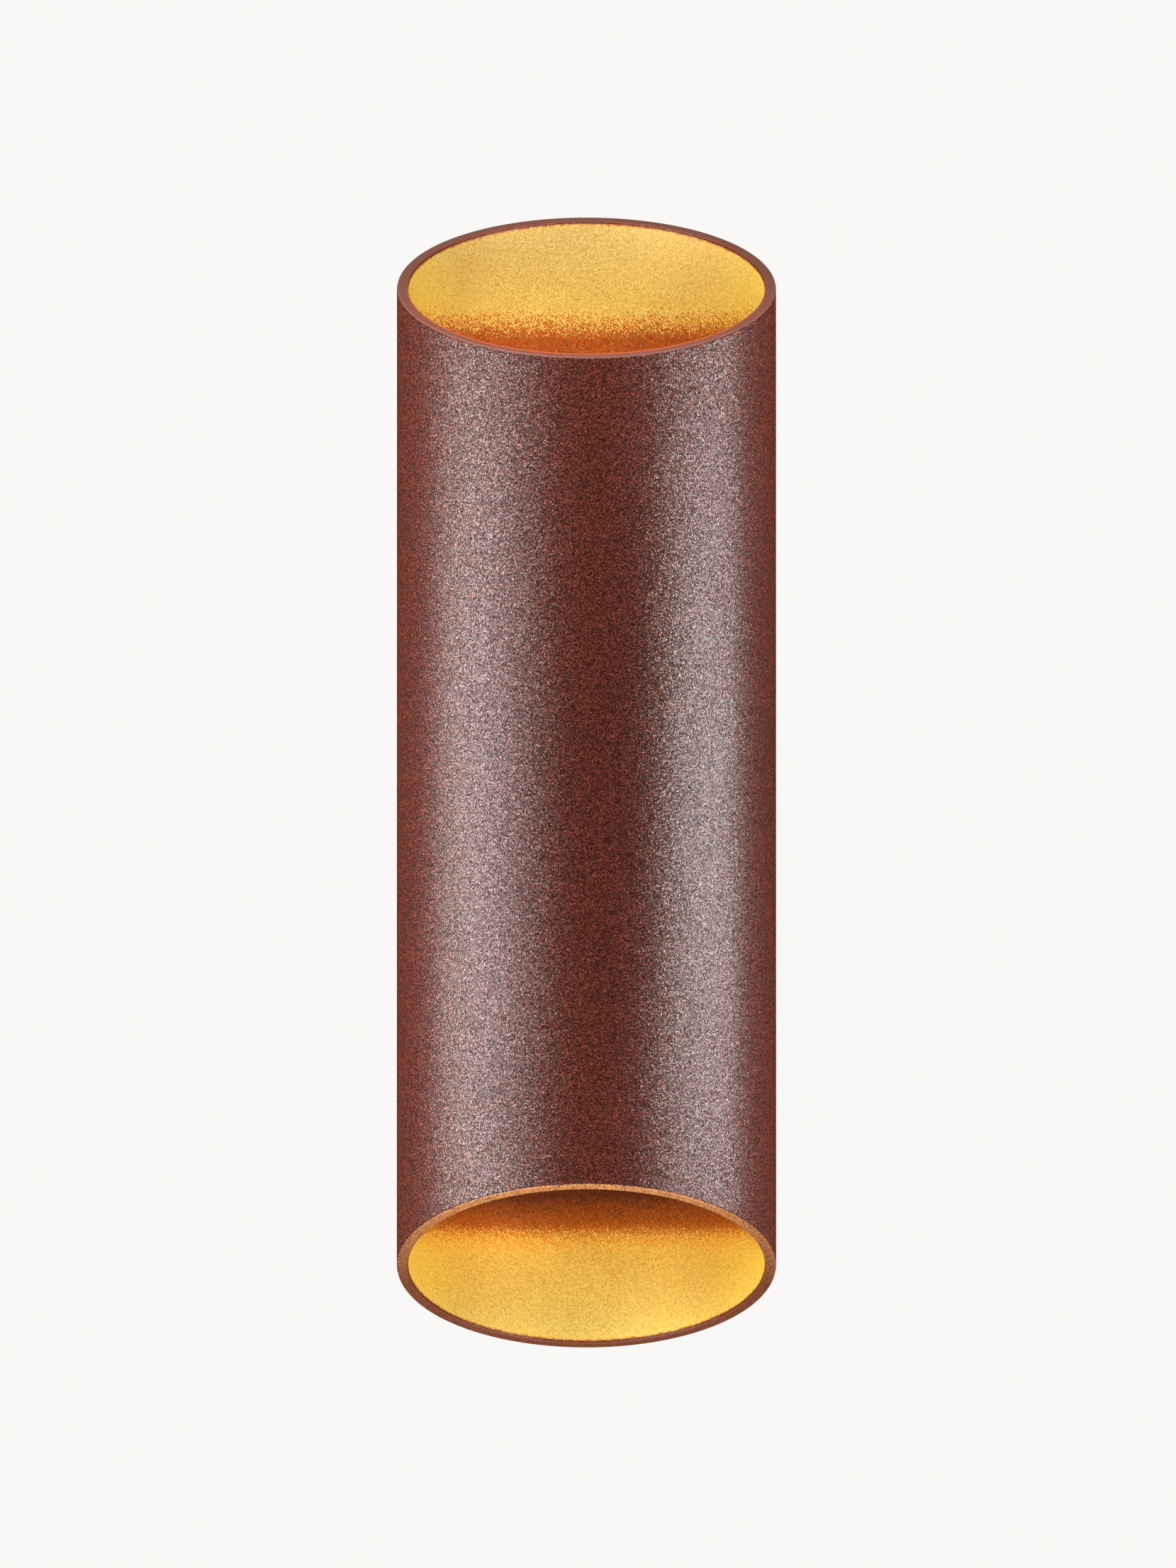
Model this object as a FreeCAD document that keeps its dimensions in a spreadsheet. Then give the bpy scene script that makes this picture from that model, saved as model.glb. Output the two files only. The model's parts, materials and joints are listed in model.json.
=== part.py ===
import FreeCAD, Part
import math
import os
import re
import Sketcher

# An outdoor wall lamp that shines up and down: a round tube with two slanted mouths, clamped to a
# wiring box that hangs on a wall bracket. Millimetres. The origin is on the wall at the middle of the
# bracket, +Z is up, +Y goes into the wall and the lamp stands out towards -Y.

# Every driving size, by the piece that it belongs to.
SIZES = {
    # The tube
    "tube_diameter": 100,
    "tube_wall": 3,
    "tube_height": 300,
    "cut_angle": 22.5,
    # The bulbs
    "bulb_long": 46,
    "bulb_rim": 8,
    "base_radius": 11,
    "base_tall": 12,
    "fin_thick": 1.6,
    "fin_foot": 3,
    "fin_inset": 0.5,
    "lens_rim": 2,
    "lens_thick": 2,
    "pin_reach": 5,
    "neck_radius": 1.5,
    "pin_head": 2.5,
    "pin_head_tall": 3,
    # The lampholders and the straps that carry them
    "holder_radius": 15,
    "holder_tall": 15,
    "holder_lip": 4,
    "holder_screw_reach": 10,
    "holder_screw_deep": 13,
    "lead_bore": 3,
    "twist_angle": 20,
    "contact_sheet": 0.5,
    "contact_wide": 3,
    "contact_foot": 2,
    "contact_inset": 1,
    "bulb_seat": 0.3,
    "lead_space": 9,
    "bridge_sheet": 1.5,
    "bridge_arm": 12,
    "bridge_margin": 1,
    "flange_rise": 10,
    # The can and its sealed ends
    "rain_gap": 9,
    "can_wall": 2,
    "bulb_room": 1.5,
    "headroom": 2.2,
    "collar_ledge": 4,
    "gasket_inset": 0.5,
    "gasket_thick": 1,
    "glass_lap": 3.5,
    "glass_thick": 3,
    "thread_land": 5.5,
    "bezel_lap": 2,
    "bezel_thick": 3,
    "bezel_round": 1,
    "key_wide": 4,
    # The wiring box and its seal
    "box_wide": 60,
    "box_tall": 150,
    "box_wall": 3,
    "box_corner": 8,
    "boss_rise": 1.3,
    "boss_land": 2,
    "seal_thick": 2,
    "wiring_room": 3.5,
    "tongue_web": 7.5,
    "tongue_clear": 2.5,
    # The wall bracket
    "bracket_sheet": 2,
    "bracket_room": 3,
    "bracket_margin": 6,
    "bracket_corner": 4,
    "lift": 8,
    "lift_room": 1,
    "hook_reach": 12,
    "hook_wide": 8,
    "hook_drop": 27,
    "hook_throat": 4.5,
    "hook_rise": 6,
    "flange_wide": 24,
    "flange_room": 1.5,
    "slot_drop": 3,
    "slot_wide": 5,
    "slot_long": 10,
    "cable_level": -20,
    "cable_radius": 5,
    "grommet_wall": 2,
    "grommet_lip": 1.5,
    # The screws, nuts and spacers
    "fixing_reach": 55,
    "fixing_radius": 2.5,
    "spacer_wall": 3.25,
    "nut_wall": 1.9,
    "nut_long": 6,
    "lock_radius": 2,
    "lock_long": 16,
    "lock_reach": 8,
    "fine_radius": 1.5,
    "tip_out": 1,
    # The terminal block, the earth stud and the leads
    "pole_pitch": 8,
    "block_level": 0,
    "block_tall": 16,
    "block_deep": 10,
    "entry_wide": 5,
    "entry_deep": 5.6,
    "entry_long": 5,
    "terminal_recess": 0.2,
    "earth_inset": 12,
    "earth_drop": 6,
    "earth_radius": 2,
    "lug_sheet": 0.8,
    "barrel_wall": 0.55,
    "barrel_long": 5,
    "barrel_drop": 4,
    "sleeve_level": 30,
    "sleeve_bore": 3.6,
    "sleeve_wall": 1.4,
    "sleeve_lip": 1.2,
    "sleeve_out": 3,
    "lead_radius": 0.9,
    "lead_pitch": 2.6,
    "lead_drop": 10,
    "lead_bend": 5.4,
    "lead_end": 3,
    "lead_in": 3.5,
    # Clearances, and how far a cut runs past what it cuts
    "slip_fit": 0.1,
    "saddle_fit": 0.2,
    "hang_fit": 0.3,
    "screw_room": 0.25,
    "glass_fit": 0.4,
    "pin_room": 0.3,
    "head_room": 0.5,
    "overrun": 2,
}

FIN_COUNT = 12
POLES = (-1, 0, 1)
SIDES = (-1, 1)

# A pan head, its socket and a lug as shares of the screw's radius.
HEAD_SHARE = 1.8
HEAD_TALL_SHARE = 1.2
SOCKET_SHARE = 0.9
SOCKET_DEEP_SHARE = 0.7
LUG_SHARE = 2
# How much of the way from its base to its rim a bulb's core widens.
CORE_SHARE = 0.43
# A lead's section is a ring of straight sides.
LEAD_SIDES = 6
# How much of a lead's shorter run an arc may use.
BEND_SHARE = 0.45
# Two directions, or two places, closer than this are the same.
SAME = 1e-6

# Sizes that follow from the ones above, written as sums for the sheet.
BOSS_LEVEL = "(bracket_sheet + wiring_room + block_deep)"
LAMP_AXIS = f"({BOSS_LEVEL} + boss_rise + box_wall + saddle_fit + tube_diameter / 2)"
SADDLE = "(tube_diameter / 2 + saddle_fit)"
TUBE_BORE = "(tube_diameter / 2 - tube_wall)"
CAN_RADIUS = f"({TUBE_BORE} - rain_gap)"
CAN_BORE = f"({CAN_RADIUS} - can_wall)"
COLLAR_RADIUS = f"({CAN_BORE} - slip_fit)"
RECESS = f"({COLLAR_RADIUS} - thread_land)"
GLASS_RADIUS = f"({RECESS} - glass_fit)"
LEDGE_BORE = f"({GLASS_RADIUS} - glass_lap)"
BULB_RADIUS = f"({LEDGE_BORE} - bulb_room)"
CORE_RADIUS = f"(base_radius + ({BULB_RADIUS} - base_radius) * {CORE_SHARE})"
HOLDER_LEVEL = "(lead_space + bridge_sheet)"
HOLDER_TOP = f"({HOLDER_LEVEL} + holder_tall)"
HOLDER_BASE = "(holder_tall - holder_lip)"
LIP_LEVEL = f"({HOLDER_TOP} - holder_lip)"
HEAD_SPACE = "(pin_head + head_room)"
CHAMBER_NEAR = f"(pin_reach * cos(twist_angle) - {HEAD_SPACE})"
CHAMBER_FAR = f"(pin_reach + {HEAD_SPACE})"
BULB_LEVEL = f"({HOLDER_TOP} + bulb_seat)"
BULB_FACE = f"({BULB_LEVEL} + bulb_long)"
LEDGE_LEVEL = f"({BULB_FACE} + headroom)"
GLASS_LEVEL = f"({LEDGE_LEVEL} + gasket_thick)"
CAN_END = f"({GLASS_LEVEL} + glass_thick)"
BEZEL_TOP = f"({CAN_END} + bezel_thick)"
FLANGE_REACH = f"(sqrt({CAN_BORE}^2 - (bridge_arm / 2)^2) - slip_fit)"
FLANGE_MIDDLE = "(lead_space + flange_rise / 2)"
FIXING_HOLE = "(fixing_radius + screw_room)"
FIXING_HEAD = f"(fixing_radius * {HEAD_SHARE})"
LOCK_HOLE = "(lock_radius + slip_fit)"
FINE_HOLE = "(fine_radius + slip_fit)"
SLEEVE_RADIUS = "(sleeve_bore + sleeve_wall)"
SLEEVE_HOLE = f"({SLEEVE_RADIUS} + slip_fit)"
SLEEVE_FLANGE = f"({SLEEVE_RADIUS} + sleeve_wall)"
GROMMET_RADIUS = "(cable_radius + grommet_wall)"
BLOCK_MIDDLE = "(block_level + block_tall / 2)"
BLOCK_TOP = "(block_level + block_tall)"
BLOCK_WIDE = f"(pole_pitch * {len(POLES)})"
POLE_AXIS = f"({BOSS_LEVEL} - block_deep / 2)"
BRACKET_BASE = "(-box_tall / 2 + box_wall + lift + lift_room)"
HOOK_LEVEL = "(box_tall / 2 - hook_drop)"
BRACKET_TOP = f"({HOOK_LEVEL} + hook_rise + bracket_margin)"
SLOT_REACH = f"({HOOK_LEVEL} - slot_drop)"
EARTH_LEVEL = f"({HOOK_LEVEL} - earth_drop)"
EARTH_REACH = "(box_wide / 2 - earth_inset)"

document = FreeCAD.newDocument("OutdoorWallLamp")
sheet = document.addObject("Spreadsheet::Sheet", "Sizes")
pieces = []


def fill_sheet():
    """One row for each driving size, with its name as the alias of its cell."""
    for row, (name, number) in enumerate(SIZES.items(), 1):
        sheet.set(f"A{row}", name)
        sheet.set(f"B{row}", str(number))
        sheet.setAlias(f"B{row}", name)
    document.recompute()


def bound(total):
    """A sum as another object writes it, each size named through the sheet."""
    return re.sub(r"[a-z_]+", lambda word: f"Sizes.{word[0]}" if word[0] in SIZES else word[0], total)


def size(total):
    """The number that a sum comes to."""
    return float(sheet.evalExpression(total))


def new_body(label, on_axis=False, turned=False):
    """A piece at the wall's origin or on the lamp's axis, the lower half turned over like the upper."""
    body = document.addObject("PartDesign::Body", label)
    body.Label = label
    if turned:
        body.Placement.Rotation = FreeCAD.Rotation(FreeCAD.Vector(0, 1, 0), 180)
    if on_axis:
        body.setExpression("Placement.Base.y", bound(f"-{LAMP_AXIS}"))
    pieces.append(body)
    return body


def origin_part(body, role):
    """One of the body's own planes or axes."""
    return next(part for part in body.Origin.OriginFeatures if part.Role == role)


def sketch_on(body, plane, level="0"):
    """An empty sketch on a plane of the body, moved along the plane's normal."""
    sketch = body.newObject("Sketcher::SketchObject", f"{body.Label}_sketch")
    sketch.AttachmentSupport = [(origin_part(body, f"{plane}_Plane"), "")]
    sketch.MapMode = "FlatFace"
    sketch.setExpression("AttachmentOffset.Base.z", bound(level))
    return sketch


def hold(sketch, kind, geometry, point, distance):
    """One distance from the sketch's origin, bound to the sheet."""
    limit = Sketcher.Constraint(kind, -1, 1, geometry, point, size(distance))
    sketch.setExpression(f"Constraints[{sketch.addConstraint(limit)}]", bound(distance))


def hold_radius(sketch, geometry, radius):
    """One radius, bound to the sheet."""
    limit = Sketcher.Constraint("Radius", geometry, size(radius))
    sketch.setExpression(f"Constraints[{sketch.addConstraint(limit)}]", bound(radius))


def place(x, y):
    """A point of a sketch from two sums."""
    return FreeCAD.Vector(size(x), size(y), 0)


def draw_outline(sketch, corners):
    """A closed outline of straight sides, each corner held by two distances."""
    first = sketch.GeometryCount
    points = [place(x, y) for x, y in corners]
    for here, there in zip(points, points[1:] + points[:1]):
        sketch.addGeometry(Part.LineSegment(here, there), False)
    for step, (x, y) in enumerate(corners):
        side = first + step
        before = first + (step - 1) % len(corners)
        sketch.addConstraint(Sketcher.Constraint("Coincident", before, 2, side, 1))
        hold(sketch, "DistanceX", side, 1, x)
        hold(sketch, "DistanceY", side, 1, y)


def draw_rectangle(sketch, left, right, low, high):
    """An outline with four corners."""
    draw_outline(sketch, [(left, low), (right, low), (right, high), (left, high)])


def draw_circle(sketch, x, y, radius):
    """A circle held by its centre and its radius."""
    circle = Part.Circle(place(x, y), FreeCAD.Vector(0, 0, 1), size(radius))
    number = sketch.addGeometry(circle, False)
    hold(sketch, "DistanceX", number, 3, x)
    hold(sketch, "DistanceY", number, 3, y)
    hold_radius(sketch, number, radius)


def draw_ring(sketch, x, y, outer, inner):
    """Two circles round one centre."""
    draw_circle(sketch, x, y, outer)
    draw_circle(sketch, x, y, inner)


def draw_slot(sketch, x, y, half_wide, half_long):
    """An upright slot with round ends."""
    number = sketch.GeometryCount
    normal = FreeCAD.Vector(0, 0, 1)
    run = f"({half_long} - {half_wide})"
    top = Part.Circle(place(x, f"{y} + {run}"), normal, size(half_wide))
    foot = Part.Circle(place(x, f"{y} - {run}"), normal, size(half_wide))
    sketch.addGeometry(Part.ArcOfCircle(top, 0, math.pi), False)
    sketch.addGeometry(Part.ArcOfCircle(foot, math.pi, 2 * math.pi), False)
    ends = [[arc.StartPoint, arc.EndPoint] for arc in sketch.Geometry[number:number + 2]]
    sketch.addGeometry(Part.LineSegment(ends[0][1], ends[1][0]), False)
    sketch.addGeometry(Part.LineSegment(ends[1][1], ends[0][0]), False)
    joins = [(0, 2, 2, 1), (2, 2, 1, 1), (1, 2, 3, 1), (3, 2, 0, 1)]
    for one, one_end, other, other_end in joins:
        tangent = Sketcher.Constraint("Tangent", number + one, one_end, number + other, other_end)
        sketch.addConstraint(tangent)
    hold(sketch, "DistanceX", number, 3, x)
    hold(sketch, "DistanceY", number, 3, f"{y} + {run}")
    hold(sketch, "DistanceY", number + 1, 3, f"{y} - {run}")
    hold_radius(sketch, number, half_wide)
    sketch.addConstraint(Sketcher.Constraint("Vertical", number + 2))


def draw_arc_slot(sketch, reach, half_wide, side):
    """A slot that follows a pin round the axis through the twist angle, with round ends."""
    number = sketch.GeometryCount
    normal = FreeCAD.Vector(0, 0, 1)
    middle, pin, radius = FreeCAD.Vector(), size(reach), size(half_wide)
    start = math.pi if side < 0 else 0
    end = start + math.radians(size("twist_angle"))
    first = FreeCAD.Vector(pin * math.cos(start), pin * math.sin(start), 0)
    last = FreeCAD.Vector(pin * math.cos(end), pin * math.sin(end), 0)
    arcs = [(middle, pin + radius, start, end), (last, radius, end, end + math.pi)]
    arcs += [(middle, pin - radius, start, end), (first, radius, start + math.pi, start + 2 * math.pi)]
    for centre, bend, opening, closing in arcs:
        sketch.addGeometry(Part.ArcOfCircle(Part.Circle(centre, normal, bend), opening, closing), False)
    for one, one_end, other, other_end in [(0, 2, 1, 1), (1, 2, 2, 2), (2, 1, 3, 1), (3, 2, 0, 1)]:
        tangent = Sketcher.Constraint("Tangent", number + one, one_end, number + other, other_end)
        sketch.addConstraint(tangent)
    for arc in (number, number + 2):
        sketch.addConstraint(Sketcher.Constraint("Coincident", arc, 3, -1, 1))
    hold(sketch, "DistanceX", number + 1, 3, f"{side} * {reach} * cos(twist_angle)")
    hold(sketch, "DistanceY", number + 1, 3, f"{side} * {reach} * sin(twist_angle)")
    hold(sketch, "DistanceY", number + 3, 3, "0")
    hold_radius(sketch, number + 3, half_wide)


def finish_feature(body, feature):
    """The feature becomes the body's tip, and the model is worked out again."""
    body.Tip = feature
    document.recompute()
    if "Invalid" in feature.State or feature.Shape.isNull():
        raise RuntimeError(f"{feature.Label} of {body.Label} failed")
    return feature


def pad(body, sketch, length, backwards=False, both_ways=False):
    """Material along the sketch's normal, against it or evenly both ways."""
    feature = body.newObject("PartDesign::Pad", f"{body.Label}_pad")
    feature.Profile = sketch
    feature.setExpression("Length", bound(length))
    feature.Reversed = backwards
    feature.SideType = "Symmetric" if both_ways else "One side"
    return finish_feature(body, feature)


def pocket(body, sketch, depth, forwards=False, both_ways=False):
    """A cut against the sketch's normal, along it or evenly both ways."""
    before = body.Shape.Volume
    feature = body.newObject("PartDesign::Pocket", f"{body.Label}_pocket")
    feature.Profile = sketch
    feature.setExpression("Length", bound(depth))
    feature.Reversed = forwards
    feature.SideType = "Symmetric" if both_ways else "One side"
    finish_feature(body, feature)
    if feature.Shape.Volume > before - SAME:
        raise RuntimeError(f"{feature.Label} of {body.Label} cuts nothing")
    return feature


def revolve(body, sketch):
    """A full turn about the body's upright axis."""
    feature = body.newObject("PartDesign::Revolution", f"{body.Label}_revolution")
    feature.Profile = sketch
    feature.ReferenceAxis = (origin_part(body, "Z_Axis"), [""])
    feature.Angle = 360
    return finish_feature(body, feature)


def spin_pattern(body, features, count):
    """The features again, evenly round the body's upright axis."""
    feature = body.newObject("PartDesign::PolarPattern", f"{body.Label}_pattern")
    feature.Originals = features
    feature.Axis = (origin_part(body, "Z_Axis"), [""])
    feature.Angle = 360
    feature.Occurrences = count
    return finish_feature(body, feature)


def mirror(body, features, plane):
    """The features again, across a plane of the body."""
    feature = body.newObject("PartDesign::Mirrored", f"{body.Label}_mirror")
    feature.Originals = features
    feature.MirrorPlane = (origin_part(body, f"{plane}_Plane"), [""])
    return finish_feature(body, feature)


def round_edges(body, radius, wanted):
    """A fillet on the edges that a test picks out."""
    base = body.Tip
    names = [f"Edge{number}" for number, edge in enumerate(base.Shape.Edges, 1) if wanted(edge)]
    feature = body.newObject("PartDesign::Fillet", f"{body.Label}_fillet")
    feature.Base = (base, names)
    feature.setExpression("Radius", bound(radius))
    return finish_feature(body, feature)


def runs_along(edge, direction):
    """True for a straight edge that is parallel to the direction."""
    straight = isinstance(edge.Curve, Part.Line)
    return straight and edge.Curve.Direction.cross(direction).Length < SAME


ACROSS = FreeCAD.Vector(1, 0, 0)
OUT = FreeCAD.Vector(0, 1, 0)
UP = FreeCAD.Vector(0, 0, 1)


def trim_to_ring(body, outer=None, inner=None):
    """Cuts a piece to the room between two cylinders about the lamp's axis."""
    through = "2 * tube_height"
    if outer:
        sketch = sketch_on(body, "XY")
        draw_ring(sketch, "0", "0", "tube_diameter", outer)
        pocket(body, sketch, through, both_ways=True)
    if inner:
        sketch = sketch_on(body, "XY")
        draw_circle(sketch, "0", "0", inner)
        pocket(body, sketch, through, both_ways=True)


def screws(body, plane, level, spots, radius, length, head_below=False):
    """Pan-head screws with hexagon sockets: the heads stand on the level, the shanks go through it."""
    head_radius, head_tall = f"({radius} * {HEAD_SHARE})", f"({radius} * {HEAD_TALL_SHARE})"
    rise = "-" if head_below else "+"
    shank = sketch_on(body, plane, level)
    head = sketch_on(body, plane, level)
    socket = sketch_on(body, plane, f"{level} {rise} {head_tall}")
    for x, y in spots:
        draw_circle(shank, x, y, radius)
        draw_circle(head, x, y, head_radius)
        reach = f"{radius} * {SOCKET_SHARE}"
        corners = []
        for turn in range(0, 360, 60):
            corners.append((f"{x} + {reach} * cos({turn})", f"{y} + {reach} * sin({turn})"))
        draw_outline(socket, corners)
    features = [pad(body, shank, length, backwards=not head_below)]
    features.append(pad(body, head, head_tall, backwards=head_below))
    features.append(pocket(body, socket, f"{radius} * {SOCKET_DEEP_SHARE}", forwards=head_below))
    return features


def make_housing_tube():
    """The round tube, sawn off on the slant at both ends, with its holes at the wall side."""
    body = new_body("housing_tube", on_axis=True)
    ring = sketch_on(body, "XY")
    draw_ring(ring, "0", "0", "tube_diameter / 2", TUBE_BORE)
    pad(body, ring, "tube_height", both_ways=True)
    slant = sketch_on(body, "YZ")
    back, front = "(tube_diameter / 2 + overrun)", "(-tube_diameter / 2 - overrun)"
    high = "(tube_height / 2 + overrun * tan(cut_angle))"
    low = "(tube_height / 2 - (tube_diameter + overrun) * tan(cut_angle))"
    draw_outline(slant, [(back, high), (front, high), (front, low)])
    cut = pocket(body, slant, "tube_diameter + overrun", both_ways=True)
    mirror(body, [cut], "XY")
    holes = sketch_on(body, "XZ")
    for side in SIDES:
        draw_circle(holes, "0", f"{side} * fixing_reach", FIXING_HOLE)
    draw_circle(holes, "0", "sleeve_level", SLEEVE_HOLE)
    pocket(body, holes, "tube_diameter / 2 + overrun")


def make_back_box():
    """The die-cast wiring box, open to the wall, its front a saddle that follows the tube."""
    body = new_body("back_box")
    outline = sketch_on(body, "XZ", "seal_thick")
    draw_rectangle(outline, "-box_wide / 2", "box_wide / 2", "-box_tall / 2", "box_tall / 2")
    flank = f"({LAMP_AXIS} - sqrt({SADDLE}^2 - (box_wide / 2)^2))"
    pad(body, outline, f"{flank} - seal_thick + overrun")
    round_edges(body, "box_corner", lambda edge: runs_along(edge, OUT))

    def cut_saddle():
        saddle = sketch_on(body, "XY")
        draw_circle(saddle, "0", f"-{LAMP_AXIS}", SADDLE)
        return pocket(body, saddle, "box_tall + overrun", both_ways=True)

    solid = cut_saddle()
    walls = body.newObject("PartDesign::Thickness", "back_box_walls")
    level = -size("seal_thick")
    rear = [
        f"Face{number}"
        for number, face in enumerate(solid.Shape.Faces, 1)
        if isinstance(face.Surface, Part.Plane) and abs(face.BoundBox.YMin - level) < SAME
    ]
    walls.Base = (solid, rear)
    walls.setExpression("Value", bound("box_wall"))
    walls.Reversed = True
    walls.Join = "Arc"
    finish_feature(body, walls)

    # Flat-topped bosses for the fixing screws, the sleeve, the terminal block and the earth screw.
    bosses = sketch_on(body, "XZ", BOSS_LEVEL)
    for side in SIDES:
        draw_circle(bosses, "0", f"{side} * fixing_reach", f"({FIXING_HEAD} + boss_land)")
    draw_circle(bosses, "0", "sleeve_level", f"({SLEEVE_FLANGE} + slip_fit)")
    draw_circle(bosses, f"-{EARTH_REACH}", EARTH_LEVEL, f"(earth_radius * {LUG_SHARE} + slip_fit)")
    draw_rectangle(bosses, f"-{BLOCK_WIDE} / 2", f"{BLOCK_WIDE} / 2", "block_level", BLOCK_TOP)
    pad(body, bosses, f"{flank} - {BOSS_LEVEL}")

    # Two tongues that reach out of the saddle and hang behind the bracket's hooks.
    near, far = "(-bracket_sheet - hang_fit)", "(-bracket_sheet - hook_throat + hang_fit)"
    foot = f"({HOOK_LEVEL} + hang_fit)"
    web = f"({HOOK_LEVEL} + hook_rise + tongue_clear)"
    tongue = sketch_on(body, "YZ", "hook_reach")
    corners = [(near, foot), (near, f"{web} + tongue_web"), (f"-{flank}", f"{web} + tongue_web")]
    corners += [(f"-{flank}", web), (far, web), (far, foot)]
    draw_outline(tongue, corners)
    mirror(body, [pad(body, tongue, "hook_wide + bracket_room", both_ways=True)], "YZ")
    cut_saddle()

    holes = sketch_on(body, "XZ", BOSS_LEVEL)
    for side in SIDES:
        draw_circle(holes, "0", f"{side} * fixing_reach", FIXING_HOLE)
    draw_circle(holes, "0", "sleeve_level", SLEEVE_HOLE)
    pocket(body, holes, f"{flank} - {BOSS_LEVEL}", forwards=True)
    tapped = sketch_on(body, "XZ", BOSS_LEVEL)
    for side in SIDES:
        draw_circle(tapped, f"{side} * pole_pitch / 2", BLOCK_MIDDLE, FINE_HOLE)
    draw_circle(tapped, f"-{EARTH_REACH}", EARTH_LEVEL, "(earth_radius + slip_fit)")
    pocket(body, tapped, "boss_rise + box_wall - tip_out", forwards=True)
    lock = sketch_on(body, "XY", "-box_tall / 2")
    draw_circle(lock, "0", "-lock_reach", LOCK_HOLE)
    pocket(body, lock, "box_wall", forwards=True)


def make_wall_seal():
    """The foam ring between the box's open edge and the wall."""
    body = new_body("wall_seal")
    ring = sketch_on(body, "XZ")
    draw_rectangle(ring, "-box_wide / 2", "box_wide / 2", "-box_tall / 2", "box_tall / 2")
    inner_wide, inner_tall = "(box_wide / 2 - box_wall)", "(box_tall / 2 - box_wall)"
    draw_rectangle(ring, f"-{inner_wide}", inner_wide, f"-{inner_tall}", inner_tall)
    pad(body, ring, "seal_thick")
    edge_of_box = size("box_wide / 2")
    edge_of_hole = size(inner_wide)

    def upright(edge, across):
        return runs_along(edge, OUT) and abs(abs(edge.BoundBox.XMin) - across) < SAME

    round_edges(body, "box_corner", lambda edge: upright(edge, edge_of_box))
    round_edges(body, "box_corner - box_wall", lambda edge: upright(edge, edge_of_hole))


def make_wall_bracket():
    """The steel plate on the wall: hooks above, a flange for the lock screw below."""
    body = new_body("wall_bracket")
    plate = sketch_on(body, "XZ")
    half = "(box_wide / 2 - box_wall - bracket_room)"
    draw_rectangle(plate, f"-{half}", half, BRACKET_BASE, BRACKET_TOP)
    pad(body, plate, "bracket_sheet")
    round_edges(body, "bracket_corner", lambda edge: runs_along(edge, OUT))

    tip = "(-2 * bracket_sheet - hook_throat)"
    inside = "(-bracket_sheet - hook_throat)"
    root = "(-bracket_sheet / 2)"
    top = f"({HOOK_LEVEL} + hook_rise)"
    foot = f"({HOOK_LEVEL} - bracket_sheet)"
    hook = sketch_on(body, "YZ", "hook_reach")
    corners = [(root, foot), (tip, foot), (tip, top), (inside, top)]
    corners += [(inside, HOOK_LEVEL), (root, HOOK_LEVEL)]
    draw_outline(hook, corners)
    mirror(body, [pad(body, hook, "hook_wide", both_ways=True)], "YZ")
    bend = (size(tip), size(foot))
    round_edges(
        body,
        "bracket_sheet",
        lambda edge: runs_along(edge, ACROSS)
        and abs(edge.BoundBox.YMin - bend[0]) < SAME
        and abs(edge.BoundBox.ZMin - bend[1]) < SAME,
    )

    flange = sketch_on(body, "XY", BRACKET_BASE)
    reach = f"({BOSS_LEVEL} - flange_room)"
    draw_rectangle(flange, "-flange_wide / 2", "flange_wide / 2", f"-{reach}", root)
    pad(body, flange, "bracket_sheet")
    lock = sketch_on(body, "XY", BRACKET_BASE)
    draw_circle(lock, "0", "-lock_reach", LOCK_HOLE)
    pocket(body, lock, "bracket_sheet", forwards=True)

    openings = sketch_on(body, "XZ")
    for side in SIDES:
        draw_slot(openings, "0", f"{side} * {SLOT_REACH}", "slot_wide / 2", "slot_long / 2")
    draw_circle(openings, "0", "cable_level", f"({GROMMET_RADIUS} + slip_fit)")
    pocket(body, openings, "bracket_sheet", forwards=True)


def make_cable_grommet():
    """The rubber bush in the plate, flush with the wall."""
    body = new_body("cable_grommet")
    bush = sketch_on(body, "XZ")
    draw_ring(bush, "0", "cable_level", GROMMET_RADIUS, "cable_radius")
    pad(body, bush, "bracket_sheet")
    lip = sketch_on(body, "XZ", "bracket_sheet")
    draw_ring(lip, "0", "cable_level", f"({GROMMET_RADIUS} + grommet_wall)", "cable_radius")
    pad(body, lip, "grommet_lip")


def make_lock_screw():
    """The screw from below that keeps the box on the bracket."""
    body = new_body("lock_screw")
    screws(body, "XY", "-box_tall / 2", [("0", "-lock_reach")], "lock_radius", "lock_long", head_below=True)


def make_fixing_screws():
    """Two screws from the box through saddle, tube, spacer and can into the clinch nuts."""
    body = new_body("fixing_screws")
    spots = [("0", f"{side} * fixing_reach") for side in SIDES]
    length = f"({LAMP_AXIS} - {CAN_BORE} + nut_long - {BOSS_LEVEL})"
    screws(body, "XZ", BOSS_LEVEL, spots, "fixing_radius", length, head_below=True)


def make_spacers():
    """Two short tubes, saddle-ended, that hold the can clear of the tube so that rain drains past."""
    body = new_body("spacers", on_axis=True)
    ring = sketch_on(body, "XZ", f"-({CAN_RADIUS} - overrun)")
    for side in SIDES:
        draw_ring(ring, "0", f"{side} * fixing_reach", f"({FIXING_HOLE} + spacer_wall)", FIXING_HOLE)
    pad(body, ring, f"{TUBE_BORE} - {CAN_RADIUS} + 2 * overrun", backwards=True)
    trim_to_ring(body, outer=f"({TUBE_BORE} - slip_fit)", inner=f"({CAN_RADIUS} + slip_fit)")


def make_clinch_nuts():
    """Two round nuts pressed into the can's wall from inside."""
    body = new_body("clinch_nuts", on_axis=True)
    bore = "(fixing_radius + slip_fit)"
    ring = sketch_on(body, "XZ", f"-({CAN_BORE} - nut_long)")
    for side in SIDES:
        draw_ring(ring, "0", f"{side} * fixing_reach", f"({bore} + nut_wall)", bore)
    pad(body, ring, "nut_long + overrun", backwards=True)
    trim_to_ring(body, outer=f"({CAN_BORE} - slip_fit)")


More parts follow.
